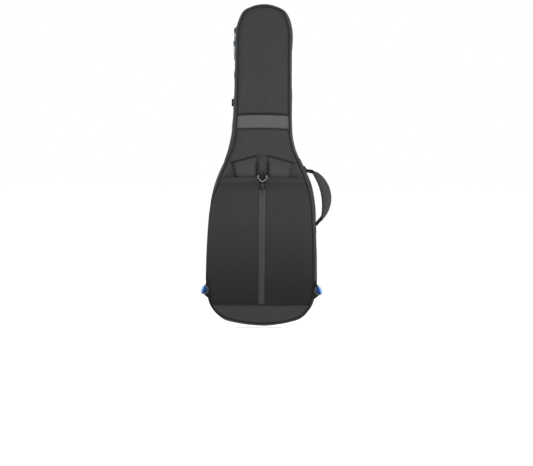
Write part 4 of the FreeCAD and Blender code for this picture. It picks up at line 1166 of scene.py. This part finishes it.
def corner_wings():
    """At each lower corner a cloth wing, the webbing loop sewn on it and the ring the loop holds."""
    lines = []
    part = np.tile(np.arange(6) / 6, len(WING))[:, None]
    for side, tag in SIDES:
        outline = np.array([(side * x, up(height)) for x, height in WING])
        centre = outline.mean(0)
        edge_line = np.repeat(outline, 6, 0) * (1 - part) + np.repeat(np.roll(outline, -1, 0), 6, 0) * part
        rings = np.array([centre + (edge_line - centre) * share for share in (1.0, 0.985, 0.90, 0.6, 0.3, 0.02)])
        half = np.array([0.0, 0.0006, 0.0009, 0.0010, 0.0010, 0.0010])[:, None]
        drawn = DRAWN if side < 0 else 0.0020
        x, z = rings[..., 0], rings[..., 1]
        under = np.minimum(-0.0028, pocket_depth(x - side * drawn, z) - 0.0014)
        front, back = (np.stack([x, y, z], -1) for y in (under - half, under + half))
        wing = capped(f"wing_cloth_{tag}", np.concatenate([front[::-1], back[1:]]), WEB)
        stands_for(f"corner_wing_{tag}", "back", "webbing", wing)
        lines.append((np.concatenate([front[2], front[2][:1]]) + [0, -STITCH_LIFT, 0], BACK))
        middle = Vector((side * RING_BAR[0], -RING_LEVEL, up(RING_BAR[1])))
        along = (side * math.sin(RING_LEAN), 0, -math.cos(RING_LEAN))
        fold = (-side * math.cos(RING_LEAN), 0, -math.sin(RING_LEAN))
        loop = folded_loop(f"blue_loop_{tag}", f"wing_loop_{tag}", middle, along, fold, 0.012, BLUE, "blue_webbing",
                           lap=0.0054, slack=2.1)
        # painted shade: from 1.5 mm past the bar the loop takes the darker copy of its blue, for its shaded plies;
        # from 8 mm on, the near-black tab cloth
        loop.data.materials.append(SHADED_BLUE)
        loop.data.materials.append(TAB)
        for polygon in loop.data.polygons:
            inwards = (polygon.center - middle).dot(Vector(fold))
            polygon.material_index = int(inwards > 0.0015) + int(inwards > 0.0080)
        coated(f"d_ring_{tag}", DARK_METAL)
    stitching("back", "webbing", "wing_stitching", lines, DARK_THREAD)


def rounded(corners, radius):
    """A closed path through corners, each of them rounded."""
    path = []
    share = np.linspace(0, 1, 7)[:, None]
    for before, corner, after in zip(np.roll(corners, 1, 0), corners, np.roll(corners, -1, 0)):
        back, ahead = (end / np.linalg.norm(end) for end in (before - corner, after - corner))
        reach = radius / math.tan(math.acos(back @ ahead) / 2)
        path.append((1 - share) ** 2 * (corner + back * reach) + 2 * share * (1 - share) * corner
                    + share ** 2 * (corner + ahead * reach))
    return np.concatenate(path)


RING_WIRE, RING_DEPTH = 0.0016, -0.0178


def centre_ring():
    """The small wire triangle above the pocket, and the tab that holds it."""
    corners = np.array([(-0.0160, -0.0695), (0.0160, -0.0695), (0.0168, -0.0740), (0.0, -0.0897),
                        (-0.0168, -0.0740)])
    path = rounded(corners, 0.0020)
    ahead = unit(np.roll(path, -1, 0) - np.roll(path, 1, 0))
    centre = np.stack([path[:, 0], np.full(len(path), RING_DEPTH), path[:, 1]], 1)
    across = np.stack([ahead[:, 1], 0 * ahead[:, 0], -ahead[:, 0]], 1)
    points = centre[:, None] + oval(16, across, -BACK, RING_WIRE, RING_WIRE)
    stands_for("centre_ring", "centre_ring", "ring_metal", closed_cord("ring_plated", points, CHROME))
    middle = Vector((0, RING_DEPTH, up(HEM_TOP + 0.0035)))
    folded_loop("ring_tab_webbing", "ring_tab", middle, (1, 0, 0), (0, 0, -1), 0.014, WEB, "webbing", lap=0.0062)


# ---------------------------------- the carry handle and the neck's loop

HANDLE_LEVEL = 0.027
GRIP_OUTER = [(0.1800, 0.5290), (0.2355, 0.4440), (0.2078, 0.3640)]
GRIP_INNER = [(0.1715, 0.5215), (0.2040, 0.4400), (0.2030, 0.3740)]
GRIP_BINDING, GRIP_SEAM = (0.0018, 0.0052), 0.0056  # the bound edge's half sizes, and its stitches' way inwards


def arc_through(a, b, c, shares):
    """Points on the circle through three (x, height) points, from a to c."""
    (ax, ay), (bx, by), (cx, cy) = a, b, c
    d = 2 * (ax * (by - cy) + bx * (cy - ay) + cx * (ay - by))
    ux = ((ax ** 2 + ay ** 2) * (by - cy) + (bx ** 2 + by ** 2) * (cy - ay) + (cx ** 2 + cy ** 2) * (ay - by)) / d
    uy = ((ax ** 2 + ay ** 2) * (cx - bx) + (bx ** 2 + by ** 2) * (ax - cx) + (cx ** 2 + cy ** 2) * (bx - ax)) / d
    start, middle, end = (math.atan2(y - uy, x - ux) for x, y in (a, b, c))
    if not min(start, end) <= middle <= max(start, end):
        end += 2 * math.pi if end < start else -2 * math.pi
    angle = start + (end - start) * shares
    radius = math.hypot(ax - ux, ay - uy)
    return np.stack([ux + radius * np.cos(angle), uy + radius * np.sin(angle)], 1)


def carry_handle():
    """The padded grip: two cushioned faces with bound edges, on webbing that comes out of both ends."""
    shares = np.linspace(0, 1, 60)
    outer = arc_through(*GRIP_OUTER, shares)
    inner = arc_through(*GRIP_INNER, shares)
    middle, half = (outer + inner) / 2, (outer - inner) / 2
    theta = full_turn(32)
    wide, deep = superellipse(np.cos(theta), 0.72), superellipse(np.sin(theta), 0.72)
    ends = 0.35 + 0.65 * np.sqrt(np.clip(1 - (2 * shares - 1) ** 6, 0, 1))
    depth = 0.0125 * ends
    sections = np.empty((len(shares), len(theta), 3))
    plane = middle[:, None, :] + half[:, None, :] * wide[None, :, None] * 0.97
    sections[..., 0] = plane[..., 0]
    sections[..., 2] = up(plane[..., 1])
    sections[..., 1] = HANDLE_LEVEL + depth[:, None] * deep[None]
    sections[..., 1] += 0.0005 * ripple(sections[..., 0], sections[..., 2], 0.03, 61) * deep
    stands_for("handle_grip", "handle", "strap", capped("grip_pad", sections, GRIP))
    size = np.linalg.norm(half, axis=1)
    radial = half / size[:, None]
    lines = []
    for tag, edge, inwards in (("outer", outer, -1), ("inner", inner, 1)):
        route = np.stack([edge[:, 0], np.full(len(edge), HANDLE_LEVEL), up(edge[:, 1])], 1)[2:-2]
        across = np.stack([radial[:, 0], 0 * size, radial[:, 1]], 1)[2:-2]
        section = oval(12, across, -BACK, GRIP_BINDING[0], GRIP_BINDING[1] * ends[2:-2])
        points = route[:, None, :] + section * (1 - 0.0012 / GRIP_BINDING[1])
        place_on("handle", "webbing", capped(f"grip_binding_{tag}", points, BINDING))
        share = np.clip(1 - GRIP_SEAM / size, 0, 1)
        keep = size > 0.0075
        for face in (-1, 1):
            x = edge[:, 0] + inwards * radial[:, 0] * GRIP_SEAM
            z = up(edge[:, 1] + inwards * radial[:, 1] * GRIP_SEAM)
            y = HANDLE_LEVEL + face * depth * np.clip(1 - share ** (2 / 0.72), 0, 1) ** 0.36
            lines.append((np.stack([x, y, z], 1)[keep], (0, face, 0)))
    stitching("handle", "strap", "grip_stitching", lines, DARK_THREAD)
    place_on("back", "webbing", refined("handle_patches", "handle_anchors", WEB, 0.0006))
    rolled_webbing("upper", [(0.1405, 0.5460), (0.1450, 0.5370), (0.1495, 0.5310), (0.1580, 0.5290),
                             (0.1680, 0.5275), (0.1760, 0.5240)])
    rolled_webbing("lower", [(0.1868, 0.3420), (0.1885, 0.3485), (0.1920, 0.3540), (0.1980, 0.3605),
                             (0.2040, 0.3670), (0.2085, 0.3755)])


def rolled_webbing(tag, corners):
    """Webbing rolled into a cord, from its patch on the wall into the grip."""
    corners = np.array(corners)
    knots = np.linspace(0, 1, len(corners))
    share = np.linspace(0, 1, 40)
    x, height = (smooth_through(knots, corners[:, k], share) for k in (0, 1))
    path = np.stack([x, np.full_like(x, HANDLE_LEVEL), up(height)], 1)
    side = np.cross(unit(np.gradient(path, axis=0)), -BACK)
    theta = full_turn(20)
    flat = 1 - ease(share, 0.0, 0.35)
    lap = 1 + 0.10 * np.cos(theta[None] - 1.2 - 2.5 * share[:, None]) ** 8
    thick = (0.0058 - 0.0022 * flat)[:, None] * lap
    deep = (0.0050 + 0.0045 * flat)[:, None] * lap
    section = (thick * np.cos(theta))[..., None] * side[:, None] + (deep * np.sin(theta))[..., None] * -BACK
    cord = capped(f"rolled_webbing_{tag}", path[:, None] + section, WEB)
    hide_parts("handle_webbing")
    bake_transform(cord)


def smooth_through(knots, values, where):
    """A smooth curve through values at evenly spaced knots."""
    slopes = np.gradient(values, knots)
    index = np.clip(np.searchsorted(knots, where, side="right") - 1, 0, len(knots) - 2)
    gap = knots[index + 1] - knots[index]
    t = (where - knots[index]) / gap
    return ((2 * t ** 3 - 3 * t ** 2 + 1) * values[index] + (t ** 3 - 2 * t ** 2 + t) * gap * slopes[index]
            + (3 * t ** 2 - 2 * t ** 3) * values[index + 1] + (t ** 3 - t ** 2) * gap * slopes[index + 1])


def neck_loop():
    """A folded webbing tab that stands out of the neck's left wall, and the patch it is sewn to."""
    low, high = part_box("neck_loop")
    patch_x, root_x, tip_x = high.x, low.x + 0.0080, low.x - 0.0010
    z = np.linspace(low.z, high.z, 13)
    theta = np.linspace(-0.5 * math.pi, 0.5 * math.pi, 9)
    nose = 0.0022
    root = [(root_x + 0.0012, 0.0012), (root_x - 0.002, 0.0017), (root_x - 0.004, nose - 0.0001)]
    tip = [(tip_x + nose - nose * math.cos(a), -nose * math.sin(a)) for a in theta]
    profile = np.array([*root, *tip, *((x, -y) for x, y in reversed(root))])
    tab = webbing_along("neck_tab", profile, 0.001, z, (0, HANDLE_LEVEL, 0), (1, 0, 0), -BACK, UP, TAB, 60)
    columns = np.linspace(-0.0148, 0.0148, 15)
    y, h = np.meshgrid(HANDLE_LEVEL + columns, z, indexing="ij")
    edge = np.minimum(0.0148 - np.abs(y - HANDLE_LEVEL), np.minimum(h - low.z, high.z - h))
    outer = np.stack([root_x - 0.0006 * ease(edge, 0, 0.002), y, h], -1)
    inner = np.stack([np.full_like(y, patch_x), y, h], -1)
    patch = shell("neck_tab_patch", outer, inner, TAB)
    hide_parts("neck_loop")
    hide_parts("neck_loop")
    lines = []
    for middle in (-0.0095, 0.0095):
        corners = [(-0.0038, 0.0025), (0.0038, 0.0025), (0.0038, 0.0225), (-0.0038, 0.0225), (-0.0038, 0.0025)]
        lines.append((np.array([(root_x - 0.0007, HANDLE_LEVEL + middle + a, low.z + b) for a, b in corners]),
                      (-1, 0, 0)))
    place_on("back", "webbing", tab, patch)
    stitching("back", "webbing", "neck_tab_stitching", lines, THREAD)


# ---------------------------------- boards, linings and the inside


def board(name, node_name, body, slot, material, near, far, edge):
    """A flat board that fills the outline. Its edges are rounded by edge."""
    flat = panel_grid(level(0.0), level(LENGTH), lambda x, z: 0 * x, inset=BOARD_INSET, columns=40, step=0.012,
                      turned=(False, False))
    inside = edge_distance(flat[..., 0], flat[..., 2]) - BOARD_INSET
    rounding = edge * (1 - np.sqrt(1 - (1 - np.clip(inside / edge, 0, 1)) ** 2))
    outer, inner = flat.copy(), flat.copy()
    outer[..., 1], inner[..., 1] = near + rounding, far - rounding
    return stands_for(node_name, body, slot, shell(name, outer, inner, material))


BOARD_INSET = 0.0124


def boards():
    """The foam boards and their plush linings, in the back and the lid."""
    for name, node_name, body, near, far in (("back_foam_board", "back_foam", "back", 0.0026, 0.0168),
                                             ("lid_foam_board", "front_foam", "lid", 0.0852, FRONT - 0.0026)):
        board(name, node_name, body, "foam", FOAM, near, far, 0.003)
    board("back_lining_plush", "back_lining", "back", "lining", LINING, 0.0170, 0.0189, 0.0008)
    board("lid_lining_plush", "front_lining", "lid", "lining", LINING, 0.0831, 0.0850, 0.0008)


# of the swollen pads: mesh size, how far they start inside their CAD solid and may move, and pressure
VOXEL, SHRINK, SWELL_CAP, PRESSURE = 0.005, 0.0015, 0.005, 4.0


def swollen(name, node_name):
    """A padded piece of the lining: the CAD solid, blown up a little by cloth simulation."""
    made = from_bmesh(name, cad_shape(node_name), LINING, sharp=180)
    remesh = made.modifiers.new("even", "REMESH")
    remesh.mode, remesh.voxel_size = "VOXEL", VOXEL
    apply_modifiers(made)
    for vertex, normal in zip(made.data.vertices, [v.normal.copy() for v in made.data.vertices]):
        vertex.co -= normal * SHRINK
    before = vertex_places(made)
    cloth_sim = made.modifiers.new("swell", "CLOTH")
    settings = cloth_sim.settings
    settings.use_pressure = True
    settings.uniform_pressure_force = PRESSURE
    settings.effector_weights.gravity = 0
    settings.tension_stiffness = settings.compression_stiffness = 25
    settings.quality = 5
    for step in range(1, 21):
        bpy.context.scene.frame_set(step)
    apply_modifiers(made)
    moved = vertex_places(made) - before
    length = np.linalg.norm(moved, axis=1, keepdims=True)
    move_to(made, before + moved * np.minimum(1, SWELL_CAP / np.maximum(length, 1e-9)))
    bpy.context.scene.frame_set(1)
    made.modifiers.new("round", "SUBSURF").levels = 1
    made.modifiers["round"].render_levels = 1
    apply_modifiers(made)
    for polygon in made.data.polygons:
        polygon.use_smooth = True
    stands_for(node_name, "back", "lining", made)


def apply_modifiers(piece):
    """Applies a piece's modifiers to its mesh."""
    evaluated = piece.evaluated_get(bpy.context.evaluated_depsgraph_get())
    mesh = bpy.data.meshes.new_from_object(evaluated)
    piece.modifiers.clear()
    old, piece.data = piece.data, mesh
    bpy.data.meshes.remove(old)


def inside():
    """The neck rest and its strap, and the pad under the guitar's end."""
    swollen("neck_rest_pad", "neck_rest")
    swollen("end_pad_cushion", "end_pad")
    place_on("back", "webbing", refined("neck_rest_strap", "neck_strap", WEB, 0.0005))
    low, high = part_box("neck_strap")
    z = (low.z + high.z) / 2
    lines = []
    for side in (LEFT, RIGHT):
        x0, x1 = side * 0.052, side * 0.066
        corner = [(x0, z - 0.014), (x1, z - 0.014), (x1, z + 0.014), (x0, z + 0.014), (x0, z - 0.014)]
        lines.append((np.array([(x, high.y + 0.0001, h) for x, h in corner]), -BACK))
    stitching("back", "webbing", "neck_strap_stitching", lines, THREAD)


# ---------------------------------- the lid's skin and pockets


def lid_skin():
    points = panel_grid(level(0.0), level(LENGTH), front_depth, step=0.007, turned=(False, False))
    panel("lid_cloth", "front_panel", SHELL, points, thickness=-SKIN, body="lid")


def pocket_pillow(name, node_name, half_at, bottom, top, base_y, thick, corner, seed):
    """A flat pouch sewn on the lid: pinched at its seams, softly full between them."""
    heights = (bottom + top) / 2 + crowded(60, 1.3) * (top - bottom) / 2
    halves = np.array([half_at(h) for h in heights])
    cut = corner - np.minimum(corner, np.minimum(heights - bottom, top - heights))
    halves = halves - (corner - np.sqrt(np.clip(corner ** 2 - cut ** 2, 0, None)))
    x = halves[:, None] * crowded(48, 1.3)
    z = np.broadcast_to(up(heights)[:, None], x.shape)
    gap = np.minimum(np.minimum(halves[:, None] - np.abs(x), z - up(bottom)), up(top) - z)
    full = ease(gap, -0.006, 0.020)
    y = base_y + thick * (0.18 + 0.82 * full) + 0.0006 * ripple(x, z, 0.08, seed) * full - 0.0003
    outer = np.stack([x, y, z], -1)
    inner = np.stack([x, np.full_like(x, base_y), z], -1)
    stands_for(node_name, "lid", "shell", shell(name, outer, inner, SHELL))
    return np.concatenate([outer[0], outer[:, -1], outer[-1][::-1], outer[::-1, 0]])


def front_pockets():
    """The body and neck pockets on the lid, each with its piping and its zip."""
    places = SIDE_PLACES - 0.0262 * SIDE_NORMALS
    for tag, corner, seed in (("body", 0.030, 71), ("neck", 0.012, 72)):
        low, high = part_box(f"{tag}_pocket")

        def half_at(height):
            return min(high.x, float(np.interp(up(height), places[:, 1], places[:, 0])))

        edge = pocket_pillow(f"{tag}_pocket_pouch", f"{tag}_pocket", half_at, low.z - BOTTOM, high.z - BOTTOM,
                             low.y, high.y - low.y, corner, seed)
        step = np.linalg.norm(np.diff(edge, axis=0), axis=1)
        edge = edge[np.concatenate([[True], step > 1e-4])]
        side = np.cross(unit(np.gradient(edge, axis=0)), -BACK)
        centre = edge.copy()
        centre[:, 1] = low.y + 0.0019
        cord = capped(f"{tag}_pocket_piping", centre[:, None, :] + oval(10, side, -BACK, 0.0017, 0.0017), PIPING)
        place_on("lid", "piping", cord)
    front_zip("body_pocket_zip", 0)
    front_zip("neck_pocket_zip", 2)


def front_zip(node_name, axis):
    """A zip tape on a pocket, with its coil and two rows of stitches. axis is the way it runs."""
    low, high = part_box(node_name)
    other = 2 - axis
    count = 80
    run = np.linspace(low[axis], high[axis], count)
    across = np.linspace(low[other], high[other], 9)
    middle = (low[other] + high[other]) / 2
    half = (high[other] - low[other]) / 2
    a, b = np.meshgrid(run, across, indexing="ij")
    dome = 1 - ((b - middle) / half) ** 2
    ends = ease(np.minimum(run - low[axis], high[axis] - run), 0, 0.006)[:, None]
    outer = np.empty(a.shape + (3,))
    outer[..., axis], outer[..., other] = a, b
    outer[..., 1] = low.y + 0.0004 + 0.0008 * dome * ends
    inner = outer.copy()
    inner[..., 1] = low.y
    stands_for(node_name, "lid", "zip_tape", shell(f"{node_name}_tape", outer, inner, TAPE))
    path = np.zeros((count, 3))
    path[:, axis], path[:, other], path[:, 1] = run, middle, low.y + 0.0012
    zip_coil(f"{node_name}_coil", "lid", path[3:-3], np.eye(3)[other], -BACK, (0.0021, 0.0008, 0.0006), COIL)
    lines = []
    for offset in (-0.0085, 0.0085):
        line = path + offset * np.eye(3)[other]
        line[:, 1] = low.y + 0.0010
        lines.append((line, -BACK))
    stitching("lid", "zip_tape", f"{node_name}_stitching", lines, THREAD)


# ---------------------------------- the studio

CAMERA_DISTANCE = 9.0
VIEW_WIDTH = 1.8258      # what the picture spans at the bag, in metres
LOOK_AT = Vector((0.0154, 0.0, -0.2644))
CAMERA_HEIGHT = -0.030
ROLL = math.radians(0.5)


def studio():
    """The camera, the floor, the white surroundings and the lamps."""
    scene = bpy.context.scene
    scene.view_settings.view_transform = "Standard"
    camera = bpy.data.cameras.new("camera")
    camera.sensor_width = 36.0
    camera.lens = camera.sensor_width * CAMERA_DISTANCE / VIEW_WIDTH
    camera.clip_end = 100.0
    seen_from = Vector((LOOK_AT.x, -CAMERA_DISTANCE, CAMERA_HEIGHT))
    held = in_scene("camera", camera)
    turn = (LOOK_AT - seen_from).to_track_quat("-Z", "Y").to_matrix() @ Matrix.Rotation(ROLL, 3, "Z")
    held.matrix_world = Matrix.Translation(seen_from) @ turn.to_4x4()
    scene.camera = held

    floor_mesh = bpy.data.meshes.new("floor")
    rim = [(60 * math.cos(a), 60 * math.sin(a), BOTTOM - 0.012) for a in full_turn(64)]
    floor_mesh.from_pydata(rim, [], [list(range(64))])
    floor = in_scene("floor", floor_mesh)
    pale, tree, shader = new_material("pale_floor")
    for name, value in (("Base Color", (0.85, 0.85, 0.85, 1)), ("Roughness", 0.9),
                        ("Emission Color", (1, 1, 1, 1)), ("Emission Strength", 0.75)):
        shader.inputs[name].default_value = value
    floor_mesh.materials.append(pale)

    world = bpy.data.worlds.new("studio")
    scene.world = world
    world.use_nodes = True
    tree = world.node_tree
    tree.nodes.clear()
    output = tree.nodes.new("ShaderNodeOutputWorld")
    seen = node(tree, "ShaderNodeBackground", {"Color": (1, 1, 1, 1), "Strength": 1.0})
    lit = node(tree, "ShaderNodeBackground", {"Color": (1, 1, 1, 1), "Strength": 0.30})
    camera_ray = node(tree, "ShaderNodeLightPath").outputs["Is Camera Ray"]
    mix = node(tree, "ShaderNodeMixShader", {0: camera_ray, 1: lit.outputs[0], 2: seen.outputs[0]})
    tree.links.new(mix.outputs[0], output.inputs["Surface"])

    for name, place, target, width, height, power in (
            ("key", (0.1, -1.9, 1.5), (0, 0, 0.18), 1.4, 1.0, 20.8),
            ("neck_side", (0.80, -0.62, 0.42), (0.02, 0, 0.34), 0.3, 0.5, 1.6),
            ("right_soft", (2.6, -0.7, 0.7), (0, 0, 0.0), 0.8, 2.2, 12),
            ("left_soft", (-2.6, -0.5, 0.7), (0, 0, 0.0), 0.8, 2.2, 12),
            ("front_fill", (0.6, 3.2, 1.8), (0, 0, 0.0), 2.0, 2.0, 40)):
        lamp = bpy.data.lights.new(name, "AREA")
        lamp.shape, lamp.size, lamp.size_y, lamp.energy = "RECTANGLE", width, height, power
        aim = (Vector(target) - Vector(place)).to_track_quat("-Z", "Y").to_matrix().to_4x4()
        in_scene(name, lamp).matrix_world = Matrix.Translation(Vector(place)) @ aim


studio()
back_panels()
strap_pocket()
shoulder_straps()
walls()
seams()
drawn_out(DRAWN, "strap_bay_cloth", "base_cloth", "base_fold", "pocket_cover_right", "pocket_stitching",
          "back_stitching", "wall_bottom", "wall_left", "wall_right")
drawn_out(0.0125, "pocket_cover_left", "pocket_hem_cloth")
drawn_out(DRAWN, "back_piping_cord", sink=0.0035)
main_zip()
zip_hardware()
corner_wings()
centre_ring()
carry_handle()
neck_loop()
boards()
inside()
lid_skin()
front_pockets()
